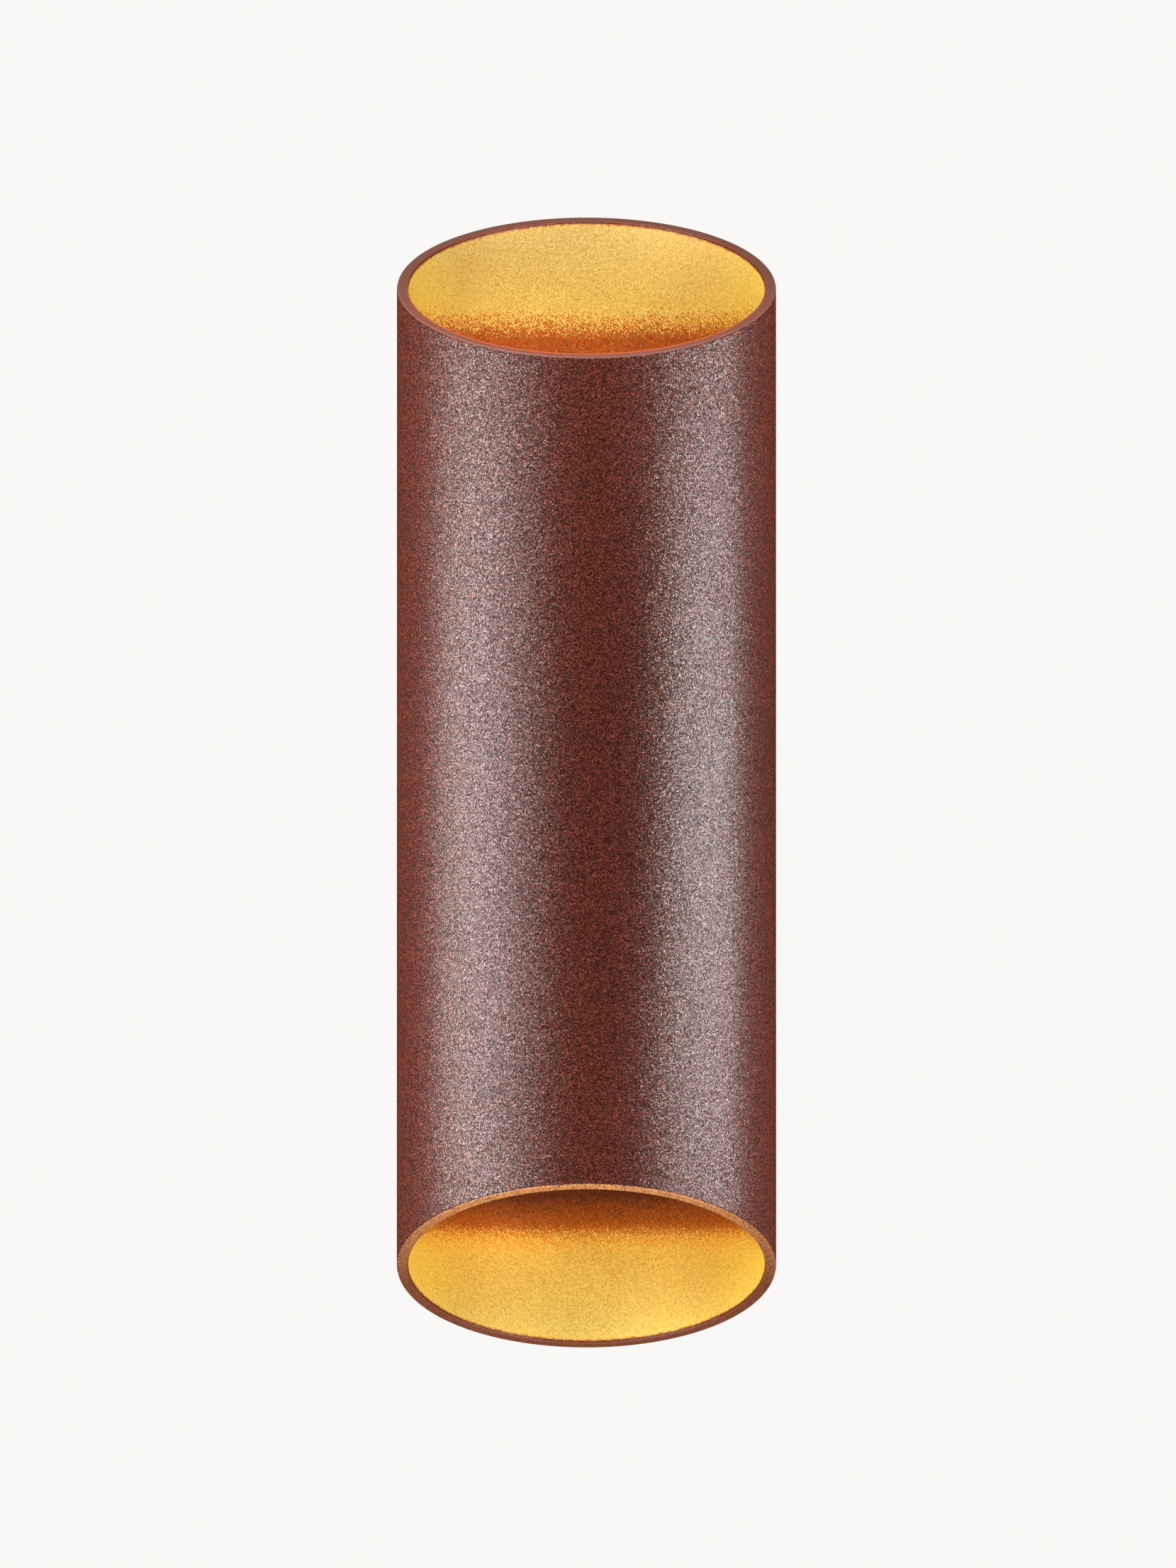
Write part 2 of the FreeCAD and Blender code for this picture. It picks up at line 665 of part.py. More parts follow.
def make_wire_sleeve():
    """The silicone sleeve that takes the leads from the box to the can."""
    body = new_body("wire_sleeve")
    tube = sketch_on(body, "XZ", BOSS_LEVEL)
    draw_ring(tube, "0", "sleeve_level", SLEEVE_RADIUS, "sleeve_bore")
    pad(body, tube, f"{LAMP_AXIS} - {CAN_BORE} + sleeve_out - {BOSS_LEVEL}")
    flange = sketch_on(body, "XZ", BOSS_LEVEL)
    draw_ring(flange, "0", "sleeve_level", SLEEVE_FLANGE, "sleeve_bore")
    pad(body, flange, "sleeve_lip", backwards=True)


def make_lamp_can():
    """The inner tube that holds both bulbs."""
    body = new_body("lamp_can", on_axis=True)
    ring = sketch_on(body, "XY")
    draw_ring(ring, "0", "0", CAN_RADIUS, CAN_BORE)
    pad(body, ring, f"2 * {CAN_END}", both_ways=True)
    back = sketch_on(body, "XZ")
    for side in SIDES:
        draw_circle(back, "0", f"{side} * fixing_reach", FIXING_HOLE)
    draw_circle(back, "0", "sleeve_level", SLEEVE_HOLE)
    pocket(body, back, f"{CAN_RADIUS} + overrun")
    flanks = sketch_on(body, "YZ")
    for side in SIDES:
        draw_circle(flanks, "0", f"{side} * {FLANGE_MIDDLE}", FINE_HOLE)
    pocket(body, flanks, f"2 * {CAN_RADIUS} + overrun", both_ways=True)


def make_collar(half, turned):
    """The ring in the can's end, stepped for gasket and glass."""
    body = new_body(f"{half}_collar", on_axis=True, turned=turned)
    profile = sketch_on(body, "XZ")
    floor = f"({LEDGE_LEVEL} - collar_ledge)"
    corners = [(LEDGE_BORE, floor), (COLLAR_RADIUS, floor), (COLLAR_RADIUS, CAN_END)]
    corners += [(RECESS, CAN_END), (RECESS, LEDGE_LEVEL), (LEDGE_BORE, LEDGE_LEVEL)]
    draw_outline(profile, corners)
    revolve(body, profile)


def make_gasket(half, turned):
    """The flat ring under the glass."""
    body = new_body(f"{half}_gasket", on_axis=True, turned=turned)
    ring = sketch_on(body, "XY", LEDGE_LEVEL)
    draw_ring(ring, "0", "0", GLASS_RADIUS, f"({LEDGE_BORE} + gasket_inset)")
    pad(body, ring, "gasket_thick")


def make_glass(half, turned):
    """The tempered disc that closes the can."""
    body = new_body(f"{half}_glass", on_axis=True, turned=turned)
    disc = sketch_on(body, "XY", GLASS_LEVEL)
    draw_circle(disc, "0", "0", GLASS_RADIUS)
    pad(body, disc, "glass_thick")


def make_bezel(half, turned):
    """The ring that presses the glass down, with two notches for the key that turns it."""
    body = new_body(f"{half}_bezel", on_axis=True, turned=turned)
    profile = sketch_on(body, "XZ")
    inner = f"({GLASS_RADIUS} - bezel_lap)"
    corners = [(inner, CAN_END), (CAN_RADIUS, CAN_END), (CAN_RADIUS, f"({BEZEL_TOP} - bezel_round)")]
    corners += [(f"({CAN_RADIUS} - bezel_round)", BEZEL_TOP), (inner, BEZEL_TOP)]
    draw_outline(profile, corners)
    revolve(body, profile)
    notch = sketch_on(body, "XY", BEZEL_TOP)
    draw_rectangle(notch, "0", inner + " + bezel_lap", "-key_wide / 2", "key_wide / 2")
    spin_pattern(body, [pocket(body, notch, "bezel_thick / 2")], len(SIDES))


def make_bridge(half, turned):
    """The bent strap across the can that carries a lampholder."""
    body = new_body(f"{half}_bridge", on_axis=True, turned=turned)
    disc = sketch_on(body, "XY", "lead_space")
    draw_circle(disc, "0", "0", "holder_radius - bridge_margin")
    pad(body, disc, "bridge_sheet")
    strap = sketch_on(body, "XY", "lead_space")
    draw_rectangle(strap, f"-{FLANGE_REACH}", FLANGE_REACH, "-bridge_arm / 2", "bridge_arm / 2")
    pad(body, strap, "bridge_sheet")
    ends = sketch_on(body, "XZ")
    top = "(lead_space + flange_rise)"
    for side in SIDES:
        outside, inside = f"{side} * {FLANGE_REACH}", f"{side} * ({FLANGE_REACH} - bridge_sheet)"
        draw_rectangle(ends, outside, inside, "lead_space", top)
    pad(body, ends, "bridge_arm", both_ways=True)
    bend = (size(FLANGE_REACH), size("lead_space"))
    round_edges(
        body,
        "bridge_sheet",
        lambda edge: runs_along(edge, OUT)
        and abs(abs(edge.BoundBox.XMin) - bend[0]) < SAME
        and abs(edge.BoundBox.ZMin - bend[1]) < SAME,
    )
    holes = sketch_on(body, "XY", "lead_space")
    draw_circle(holes, "0", "0", "lead_bore + bridge_margin")
    for side in SIDES:
        draw_circle(holes, "0", f"{side} * holder_screw_reach", FINE_HOLE)
    pocket(body, holes, "bridge_sheet", forwards=True)
    flanks = sketch_on(body, "YZ")
    draw_circle(flanks, "0", FLANGE_MIDDLE, FINE_HOLE)
    pocket(body, flanks, f"2 * {FLANGE_REACH} + overrun", both_ways=True)


def make_bridge_screws():
    """Two screws through the can into each strap's flanges."""
    body = new_body("bridge_screws", on_axis=True)
    seat = f"({CAN_RADIUS} + slip_fit)"
    length = f"({seat} - {FLANGE_REACH} + bridge_sheet + tip_out)"
    spots = [("0", f"{side} * {FLANGE_MIDDLE}") for side in SIDES]
    spin_pattern(body, screws(body, "YZ", seat, spots, "fine_radius", length), len(SIDES))


def make_holder_screws():
    """Two screws through each strap and its holder's base into the cap."""
    body = new_body("holder_screws", on_axis=True)
    spots = [("0", f"{side} * holder_screw_reach") for side in SIDES]
    length = "(bridge_sheet + holder_screw_deep)"
    mirror(body, screws(body, "XY", "lead_space", spots, "fine_radius", length, head_below=True), "XY")


def make_lampholder(half, turned):
    """The ceramic holder in two pieces: a base with a chamber for each pin, and a cap with the keyhole slots."""
    body = new_body(f"{half}_lampholder", on_axis=True, turned=turned)
    disc = sketch_on(body, "XY", HOLDER_LEVEL)
    draw_circle(disc, "0", "0", "holder_radius")
    pad(body, disc, HOLDER_BASE)
    chambers = sketch_on(body, "XY", HOLDER_LEVEL)
    for side in SIDES:
        near, far = f"{side} * {CHAMBER_NEAR}", f"{side} * {CHAMBER_FAR}"
        low, high = f"{-side} * {HEAD_SPACE}", f"{side} * (pin_reach * sin(twist_angle) + {HEAD_SPACE})"
        draw_rectangle(chambers, near, far, low, high)
    pocket(body, chambers, HOLDER_BASE, forwards=True)
    way = sketch_on(body, "XY", HOLDER_LEVEL)
    draw_rectangle(way, "-pin_reach", "pin_reach", "-lead_bore", "lead_bore")
    pocket(body, way, f"{HOLDER_BASE} / 2", forwards=True)
    holes = sketch_on(body, "XY", HOLDER_LEVEL)
    for side in SIDES:
        draw_circle(holes, "0", f"{side} * holder_screw_reach", FINE_HOLE)
    pocket(body, holes, HOLDER_BASE, forwards=True)

    body = new_body(f"{half}_holder_cap", on_axis=True, turned=turned)
    disc = sketch_on(body, "XY", LIP_LEVEL)
    draw_circle(disc, "0", "0", "holder_radius")
    pad(body, disc, "holder_lip")
    entries = sketch_on(body, "XY", HOLDER_TOP)
    for side in SIDES:
        x, y = f"{side} * pin_reach * cos(twist_angle)", f"{side} * pin_reach * sin(twist_angle)"
        draw_circle(entries, x, y, "(pin_head + pin_room)")
    pocket(body, entries, "holder_lip")
    for side in SIDES:
        slot = sketch_on(body, "XY", HOLDER_TOP)
        draw_arc_slot(slot, "pin_reach", "(neck_radius + pin_room)", side)
        pocket(body, slot, "holder_lip")
    holes = sketch_on(body, "XY", LIP_LEVEL)
    for side in SIDES:
        draw_circle(holes, "0", f"{side} * holder_screw_reach", FINE_HOLE)
    pocket(body, holes, f"holder_screw_deep + tip_out - {HOLDER_BASE}", forwards=True)


def make_contacts(half, turned):
    """The two brass springs in the holder that press on the pins' heads."""
    body = new_body(f"{half}_contacts", on_axis=True, turned=turned)
    profile = sketch_on(body, "XZ")
    inner, outer = f"({CHAMBER_NEAR} + contact_inset)", f"({CHAMBER_FAR} - pin_room)"
    top = f"({LIP_LEVEL} - pin_room - pin_head_tall - head_room)"
    foot = f"({HOLDER_LEVEL} + contact_foot)"
    side, under = f"{inner} + contact_sheet", f"{top} - contact_sheet"
    corners = [(inner, foot), (side, foot), (side, under), (outer, under), (outer, top), (inner, top)]
    draw_outline(profile, corners)
    spin_pattern(body, [pad(body, profile, "contact_wide", both_ways=True)], len(SIDES))


def make_bulb(half, turned):
    """A bulb with a finned body, its lens and its two headed pins."""
    body = new_body(f"{half}_bulb_body", on_axis=True, turned=turned)
    shoulder = f"({BULB_LEVEL} + base_tall)"
    rim = f"({BULB_FACE} - bulb_rim)"
    profile = sketch_on(body, "XZ")
    corners = [("0", BULB_LEVEL), ("base_radius", BULB_LEVEL), ("base_radius", shoulder)]
    corners += [(CORE_RADIUS, rim), (BULB_RADIUS, rim)]
    corners += [(BULB_RADIUS, BULB_FACE), ("0", BULB_FACE)]
    draw_outline(profile, corners)
    revolve(body, profile)
    fin = sketch_on(body, "XZ")
    corners = [("base_radius / 2", shoulder), ("base_radius + fin_foot", shoulder)]
    corners += [(f"{BULB_RADIUS} - fin_inset", rim), ("base_radius / 2", rim)]
    draw_outline(fin, corners)
    spin_pattern(body, [pad(body, fin, "fin_thick", both_ways=True)], FIN_COUNT)
    seat = sketch_on(body, "XY", BULB_FACE)
    draw_circle(seat, "0", "0", f"({BULB_RADIUS} - lens_rim)")
    pocket(body, seat, "lens_thick")

    body = new_body(f"{half}_bulb_lens", on_axis=True, turned=turned)
    disc = sketch_on(body, "XY", f"({BULB_FACE} - lens_thick)")
    draw_circle(disc, "0", "0", f"({BULB_RADIUS} - lens_rim - slip_fit)")
    pad(body, disc, "lens_thick")

    body = new_body(f"{half}_bulb_pins", on_axis=True, turned=turned)
    neck_long = "(bulb_seat + holder_lip + pin_room)"
    necks = sketch_on(body, "XY", BULB_LEVEL)
    heads = sketch_on(body, "XY", f"({BULB_LEVEL} - {neck_long})")
    for side in SIDES:
        draw_circle(necks, f"{side} * pin_reach", "0", "neck_radius")
        draw_circle(heads, f"{side} * pin_reach", "0", "pin_head")
    pad(body, necks, neck_long, backwards=True)
    pad(body, heads, "pin_head_tall", backwards=True)


def make_terminal_block():
    """The three-pole block on its boss, with its terminal and fixing screws."""
    body = new_body("terminal_block")
    face = f"({BOSS_LEVEL} - block_deep)"
    outline = sketch_on(body, "XZ", face)
    draw_rectangle(outline, f"-{BLOCK_WIDE} / 2", f"{BLOCK_WIDE} / 2", "block_level", BLOCK_TOP)
    pad(body, outline, "block_deep")
    for level, forwards in ((BLOCK_TOP, False), ("block_level", True)):
        entries = sketch_on(body, "XY", level)
        for pole in POLES:
            left, right = f"{pole} * pole_pitch - entry_wide / 2", f"{pole} * pole_pitch + entry_wide / 2"
            back, front = f"-{POLE_AXIS} - entry_deep / 2", f"-{POLE_AXIS} + entry_deep / 2"
            draw_rectangle(entries, left, right, back, front)
        pocket(body, entries, "entry_long", forwards=forwards)
    spots = []
    for pole in POLES:
        for side in SIDES:
            spots.append((f"{pole} * pole_pitch", f"{BLOCK_MIDDLE} + {side} * block_tall / 4"))
    wells = sketch_on(body, "XZ", face)
    for x, y in spots:
        left, right = f"{x} - {FINE_HOLE}", f"{x} + {FINE_HOLE}"
        draw_rectangle(wells, left, right, f"{y} - {FINE_HOLE}", f"{y} + {FINE_HOLE}")
    pocket(body, wells, f"{POLE_AXIS} - {face}", forwards=True)
    middle = [(f"{side} * pole_pitch / 2", BLOCK_MIDDLE) for side in SIDES]
    holes = sketch_on(body, "XZ", face)
    for x, y in middle:
        draw_circle(holes, x, y, FINE_HOLE)
    pocket(body, holes, "block_deep", forwards=True)

    body = new_body("terminal_screws")
    grub = sketch_on(body, "XZ", f"({face} + terminal_recess)")
    for x, y in spots:
        draw_circle(grub, x, y, "fine_radius")
    length = f"({POLE_AXIS} - lead_pitch / 2 - lead_radius - slip_fit - {face} - terminal_recess)"
    pad(body, grub, length)

    body = new_body("terminal_fixing_screws")
    screws(body, "XZ", face, middle, "fine_radius", "block_deep + boss_rise", head_below=True)


def make_earth_stud():
    """The lug under its screw on the box's earth boss."""
    body = new_body("earth_lug")
    spot = (f"-{EARTH_REACH}", EARTH_LEVEL)
    eye = sketch_on(body, "XZ", f"({BOSS_LEVEL} - lug_sheet)")
    draw_ring(eye, *spot, f"(earth_radius * {LUG_SHARE})", "(earth_radius + slip_fit)")
    pad(body, eye, "lug_sheet")
    barrel = sketch_on(body, "XY", f"{EARTH_LEVEL} - barrel_drop")
    radius = "(lead_radius + barrel_wall)"
    middle = f"-{BOSS_LEVEL} + {radius}"
    draw_circle(barrel, spot[0], middle, radius)
    pad(body, barrel, "barrel_long", backwards=True)
    tongue = sketch_on(body, "XZ", f"({BOSS_LEVEL} - lug_sheet)")
    low, high = f"{EARTH_LEVEL} - barrel_drop - barrel_long / 2", f"{EARTH_LEVEL} - earth_radius - lug_sheet"
    draw_rectangle(tongue, f"{spot[0]} - {radius}", f"{spot[0]} + {radius}", low, high)
    pad(body, tongue, "lug_sheet")
    bore = sketch_on(body, "XY", f"{EARTH_LEVEL} - barrel_drop - barrel_long")
    draw_circle(bore, spot[0], middle, "(lead_radius + slip_fit / 2)")
    pocket(body, bore, "barrel_long - lug_sheet", forwards=True)

    body = new_body("earth_screw")
    level = f"({BOSS_LEVEL} - lug_sheet)"
    length = "lug_sheet + boss_rise + box_wall - tip_out - head_room"
    screws(body, "XZ", level, [spot], "earth_radius", length, head_below=True)


def around(centre, along, radius):
    """The corners of a closed ring round a point, square to a direction."""
    side = along.cross(ACROSS if abs(along.normalize().x) < BEND_SHARE else UP).normalize()
    turn = FreeCAD.Rotation(along, 360 / LEAD_SIDES)
    corners = [side * radius]
    for step in range(LEAD_SIDES):
        corners.append(turn.multVec(corners[-1]))
    return [centre + corner for corner in corners]


def bent_wire(points):
    """A round wire along straight runs that are joined by tangent arcs."""
    edges, here = [], points[0]
    for before, corner, after in zip(points, points[1:], points[2:]):
        back, ahead = (before - corner).normalize(), (after - corner).normalize()
        half_turn = (math.pi - back.getAngle(ahead)) / 2
        shorter = min(before.distanceToPoint(corner), after.distanceToPoint(corner))
        radius = min(size("lead_bend"), BEND_SHARE * shorter / math.tan(half_turn))
        run = radius * math.tan(half_turn)
        start, end = corner + back * run, corner + ahead * run
        towards = (back + ahead).normalize()
        middle = corner + towards * (radius / math.cos(half_turn) - radius)
        edges.append(Part.LineSegment(here, start).toShape())
        edges.append(Part.Arc(start, middle, end).toShape())
        here = end
    edges.append(Part.LineSegment(here, points[-1]).toShape())
    route = Part.Wire(edges)
    section = Part.makePolygon(around(points[0], points[1] - points[0], size("lead_radius")))
    solid = route.makePipeShell([section], True, False)
    share = solid.Volume / (Part.Face(section).Area * route.Length)
    print(f"a lead of {route.Length:.1f} mm, its volume {share:.4f} of section times length")
    return solid


def lay(label, routes):
    """One or more wires as a piece of their own."""
    piece = document.addObject("Part::Feature", label)
    piece.Label = label
    piece.Shape = Part.makeCompound([bent_wire(route) for route in routes])
    pieces.append(piece)


def point(x, y, z):
    """A place from three sums, y counted out from the wall."""
    return FreeCAD.Vector(size(x), -size(y), size(z))


def make_leads():
    """Live and neutral from the block through the sleeve to each holder, and the earth to its lug."""
    for label, pole, side in (("neutral_leads", 0, -1), ("live_leads", 1, 1)):
        across = f"{side} * lead_pitch / 2"
        terminal = f"{pole} * pole_pitch"
        routes = []
        for half in SIDES:
            offset = f"{half} * lead_pitch / 2"
            out = f"{POLE_AXIS} - {offset}"
            drop = f"{LAMP_AXIS} - {CAN_BORE} + lead_drop + {offset}"
            route = [
                point(terminal, out, f"{BLOCK_TOP} - lead_end"),
                point(terminal, out, f"{BLOCK_TOP} + entry_long"),
                point(across, out, f"sleeve_level + {offset}"),
                point(across, drop, f"sleeve_level + {offset}"),
                point(across, drop, offset),
                point(across, LAMP_AXIS, offset),
                point(across, LAMP_AXIS, f"{half} * ({HOLDER_LEVEL} + lead_in)"),
            ]
            routes.append(route)
        lay(label, routes)
    barrel = f"({BOSS_LEVEL} - lead_radius - barrel_wall)"
    foot = f"({EARTH_LEVEL} - barrel_drop - barrel_long)"
    reach = f"-{EARTH_REACH}"
    route = [
        point("-pole_pitch", POLE_AXIS, f"{BLOCK_TOP} - lead_end"),
        point("-pole_pitch", POLE_AXIS, f"{BLOCK_TOP} + entry_long"),
        point(reach, barrel, f"{foot} - lead_end"),
        point(reach, barrel, f"{foot} + lead_end"),
    ]
    lay("earth_lead", [route])


def check_and_export():
    """Every object is sound and every piece is one or more closed solids before a file is written."""
    document.recompute()
    for item in document.Objects:
        if "Invalid" in item.State or "Error" in item.State:
            raise RuntimeError(f"{item.Label} is {item.State}")
    for piece in pieces:
        if piece.Shape.isNull() or not piece.Shape.isValid() or not piece.Shape.Solids:
            raise RuntimeError(f"{piece.Label} is not a sound solid")
    os.makedirs("parts", exist_ok=True)
    for piece in pieces:
        piece.Shape.exportStep(f"parts/{piece.Label}.step")
        print(piece.Label, len(piece.Shape.Solids), "solids", round(piece.Shape.Volume), "mm3")
    print(len(pieces), "pieces")


fill_sheet()
make_wall_bracket()
make_cable_grommet()
make_housing_tube()
make_back_box()
make_wall_seal()
make_lock_screw()
make_fixing_screws()
make_spacers()
make_clinch_nuts()
make_wire_sleeve()
make_lamp_can()
for half, turned in (("upper", False), ("lower", True)):
    make_collar(half, turned)
    make_gasket(half, turned)
    make_glass(half, turned)
    make_bezel(half, turned)
    make_bridge(half, turned)
    make_lampholder(half, turned)
    make_contacts(half, turned)
    make_bulb(half, turned)
make_bridge_screws()
make_holder_screws()
make_terminal_block()
make_earth_stud()
make_leads()
check_and_export()
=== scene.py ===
# %% [markdown]
# # An outdoor wall lamp with two slanted mouths
#
# The real lamp is a piece of round tube, sawn off on the slant at both ends, so that light can leave it
# upwards and downwards. Outside it wears a fine sandy coat of rust brown, inside a glittering gold one.
# Its inner pieces come from a CAD model with real sizes. This lesson leaves those solids where they are,
# gives each one the finish of its real material, and rebuilds only the tube, whose rims need rounding
# that light can catch. The model comes in first, because everything after it is measured from it.

# %% Load the lamp
import json
import math

import bmesh
import bpy
from mathutils import Matrix, Vector


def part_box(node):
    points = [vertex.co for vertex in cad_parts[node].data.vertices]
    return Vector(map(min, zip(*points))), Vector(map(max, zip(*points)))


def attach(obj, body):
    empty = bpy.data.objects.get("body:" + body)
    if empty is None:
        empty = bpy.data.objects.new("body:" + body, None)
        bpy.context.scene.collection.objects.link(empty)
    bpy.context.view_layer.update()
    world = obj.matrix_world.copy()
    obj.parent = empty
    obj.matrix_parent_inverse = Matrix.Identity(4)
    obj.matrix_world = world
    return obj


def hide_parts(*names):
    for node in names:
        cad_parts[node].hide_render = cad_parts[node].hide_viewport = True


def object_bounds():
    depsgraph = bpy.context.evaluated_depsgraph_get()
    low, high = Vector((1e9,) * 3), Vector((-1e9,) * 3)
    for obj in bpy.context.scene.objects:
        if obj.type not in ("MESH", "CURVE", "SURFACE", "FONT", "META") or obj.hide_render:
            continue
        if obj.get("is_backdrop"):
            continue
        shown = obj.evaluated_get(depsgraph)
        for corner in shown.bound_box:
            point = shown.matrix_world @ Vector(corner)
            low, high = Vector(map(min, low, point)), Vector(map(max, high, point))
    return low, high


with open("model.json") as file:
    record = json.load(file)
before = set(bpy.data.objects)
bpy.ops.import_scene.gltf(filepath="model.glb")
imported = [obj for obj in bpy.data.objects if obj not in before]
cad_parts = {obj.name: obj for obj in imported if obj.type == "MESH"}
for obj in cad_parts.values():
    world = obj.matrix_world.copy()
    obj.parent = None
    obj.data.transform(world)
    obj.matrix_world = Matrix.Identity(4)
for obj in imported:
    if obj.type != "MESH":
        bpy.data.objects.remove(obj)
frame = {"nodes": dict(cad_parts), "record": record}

cad_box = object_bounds()

# %% [markdown]
# ## Sizes to work from
#
# Blender counts in metres and the lamp is drawn in millimetres, so one value turns one into the other. The
# tube's width and height are read from the CAD solid. Only what a box can't tell, such as the slant of the
# saw cut, is written here.

# %% Measure the tube
MM = 0.001
tube_low, tube_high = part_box("housing_tube")
TUBE_RADIUS = (tube_high.x - tube_low.x) / 2
TUBE_AXIS = (tube_high.y + tube_low.y) / 2
TUBE_BACK = tube_high.y
HALF_TALL = (tube_high.z - tube_low.z) / 2
WALL = 3 * MM
BORE = TUBE_RADIUS - WALL
SLANT = math.radians(22.5)
MIDDLE = Vector((0, TUBE_AXIS, 0))
print(f"tube: {2 * TUBE_RADIUS / MM:.1f} mm across, {2 * HALF_TALL / MM:.1f} mm tall")

# %% [markdown]
# ## The camera
#
# The photograph was taken from far away with a very long lens: the tube's sides run parallel, and its two
# mouths look alike. The lens stands a touch lower than the lamp's middle and looks up by less than two
# degrees. That could be an orthographic camera, but a long lens keeps the faint widening of the real one.

# %% Set the camera
DISTANCE = 9.3
SENSOR_WIDTH = 36
FOCAL_LENGTH = 809.9
LOOK_UP = math.radians(1.7)
LOOK_AT = Vector((0.4 * MM, TUBE_AXIS, -1.94 * MM))

lens = bpy.data.cameras.new("long_lens")
lens.sensor_width = SENSOR_WIDTH
lens.lens = FOCAL_LENGTH
lens.clip_end = 60
camera = bpy.data.objects.new("camera", lens)
bpy.context.scene.collection.objects.link(camera)
towards = Vector((0, math.cos(LOOK_UP), math.sin(LOOK_UP)))
camera.location = LOOK_AT - towards * DISTANCE
camera.rotation_euler = towards.to_track_quat("-Z", "Y").to_euler()
bpy.context.scene.camera = camera
print("camera at", [round(x, 3) for x in camera.location])

# %% [markdown]
# ## Colours and nodes
#
# A colour picked from a picture is an sRGB value, while a shader adds light linearly, so each hex colour
# passes through one function. A node tree is a list of small steps. One helper adds a step, sets its options
# and its inputs, and links whatever is given as a socket, so each material below reads from top to bottom.
# A Mix node keeps inputs for numbers and for colours under the same names. So they go by their place, and
# the places of its two colours and of its result get names here.

# %% Helpers for colours and nodes
FIRST = 6
SECOND = 7
RESULT = 2


def to_linear(hex_colour):
    """An sRGB hex colour as the linear one that a shader wants."""
    channels = []
    for start in (0, 2, 4):
        share = int(hex_colour[start:start + 2], 16) / 255
        channels.append(share / 12.92 if share <= 0.04045 else ((share + 0.055) / 1.055) ** 2.4)
    return (*channels, 1)


def add_node(tree, kind, inputs=None, **options):
    """Adds one node. Options are its settings. Inputs are numbers, colours or sockets to link."""
    node = tree.nodes.new(f"ShaderNode{kind}")
    for name, value in options.items():
        setattr(node, name, value)
    for name, value in (inputs or {}).items():
        socket = node.inputs[name]
        if isinstance(value, bpy.types.NodeSocket):
            tree.links.new(value, socket)
        else:
            socket.default_value = value
    return node


def new_finish(name):
    """An empty material: the material, its node tree and the object's own coordinates in metres."""
    finish = bpy.data.materials.new(name)
    finish.use_nodes = True
    finish.node_tree.nodes.clear()
    place = add_node(finish.node_tree, "TexCoord").outputs["Object"]
    return finish, finish.node_tree, place


def close_finish(tree, surface):
    """Sends the last shader to the material's output."""
    add_node(tree, "OutputMaterial", {"Surface": surface})


print("hex 808080 is", round(to_linear("808080")[0], 3), "in linear light")

# %% [markdown]
# ## The pale background
#
# The photograph's background is nearly white. It could be a white wall with lamps on it, but their light
# would spill on the tube. Here it is the world's own colour, at full strength only for rays from the camera
# and through glass. Reflections and diffuse light get little of it, because the real studio was dark.

# %% Pale studio
PALE = "FAF8F6"
WORLD_GLOSS = 0.13
WORLD_FILL = 0.08

scene = bpy.context.scene
scene.view_settings.view_transform = "Standard"
world = bpy.data.worlds.new("pale_studio")
scene.world = world
world.use_nodes = True
sky = world.node_tree
sky.nodes.clear()
ray = add_node(sky, "LightPath").outputs
seen = add_node(sky, "Math", {0: ray["Is Camera Ray"], 1: ray["Is Transmission Ray"]}, operation="MAXIMUM")
dim = add_node(sky, "Mix", {0: ray["Is Glossy Ray"], 2: WORLD_FILL, 3: WORLD_GLOSS})
level = add_node(sky, "Mix", {0: seen.outputs[0], 2: dim.outputs[0], 3: 1.0})
backdrop = add_node(sky, "Background", {"Color": to_linear(PALE), "Strength": level.outputs[0]})
add_node(sky, "OutputWorld", {"Surface": backdrop.outputs[0]})
print("world: gloss", WORLD_GLOSS, "fill", WORLD_FILL)

# %% [markdown]
# ## Softboxes for the outside
#
# The highlights tell where the lamps stood: left and right of the camera, so far round that the middle of
# the tube stays dark. A softbox is an area lamp. One large box a side could do it, but a row of small ones
# shapes the flanks of each highlight. The level ones stand near the tube, so that the highlights fade towards
# its ends. Three more fill in from above and below.

# %% Softboxes
# Each row: name, degrees round from the camera, degrees up, distance and width in metres, watts.
SOFTBOXES = (
    ("left_near", -42, 0, 0.65, 0.17, 1.5),
    ("left_middle", -66, 0, 0.65, 0.17, 3.0),
    ("left_side", -90, 0, 0.8, 0.2, 2.3),
    ("right_near", 61, 0, 0.5, 0.13, 1.65),
    ("right_side", 88, 0, 0.8, 0.2, 3.6),
    ("high_left", -60, 55, 1.0, 0.4, 5.9),
    ("low_left", -60, -55, 1.0, 0.4, 7.5),
    ("low_right", 60, -55, 1.0, 0.4, 4.0),
)


def direction(around, rise):
    """A direction so many degrees round from the camera and above the level."""
    around = math.radians(around)
    rise = math.radians(rise)
    return Vector((math.sin(around) * math.cos(rise), -math.cos(around) * math.cos(rise), math.sin(rise)))


def place_lamp(name, data, location, aim):
    """Sets a lamp up in the scene, turned to its aim and hidden from the camera."""
    lamp = bpy.data.objects.new(name, data)
    scene.collection.objects.link(lamp)
    lamp.location = location
    lamp.rotation_euler = (aim - location).to_track_quat("-Z", "Y").to_euler()
    lamp.visible_camera = False


for name, around, rise, distance, wide, watts in SOFTBOXES:
    data = bpy.data.lights.new(f"softbox_{name}", "AREA")
    data.shape = "SQUARE"
    data.size = wide
    data.energy = watts
    place_lamp(f"softbox_{name}", data, MIDDLE + direction(around, rise) * distance, MIDDLE)
print("softboxes:", len(SOFTBOXES))

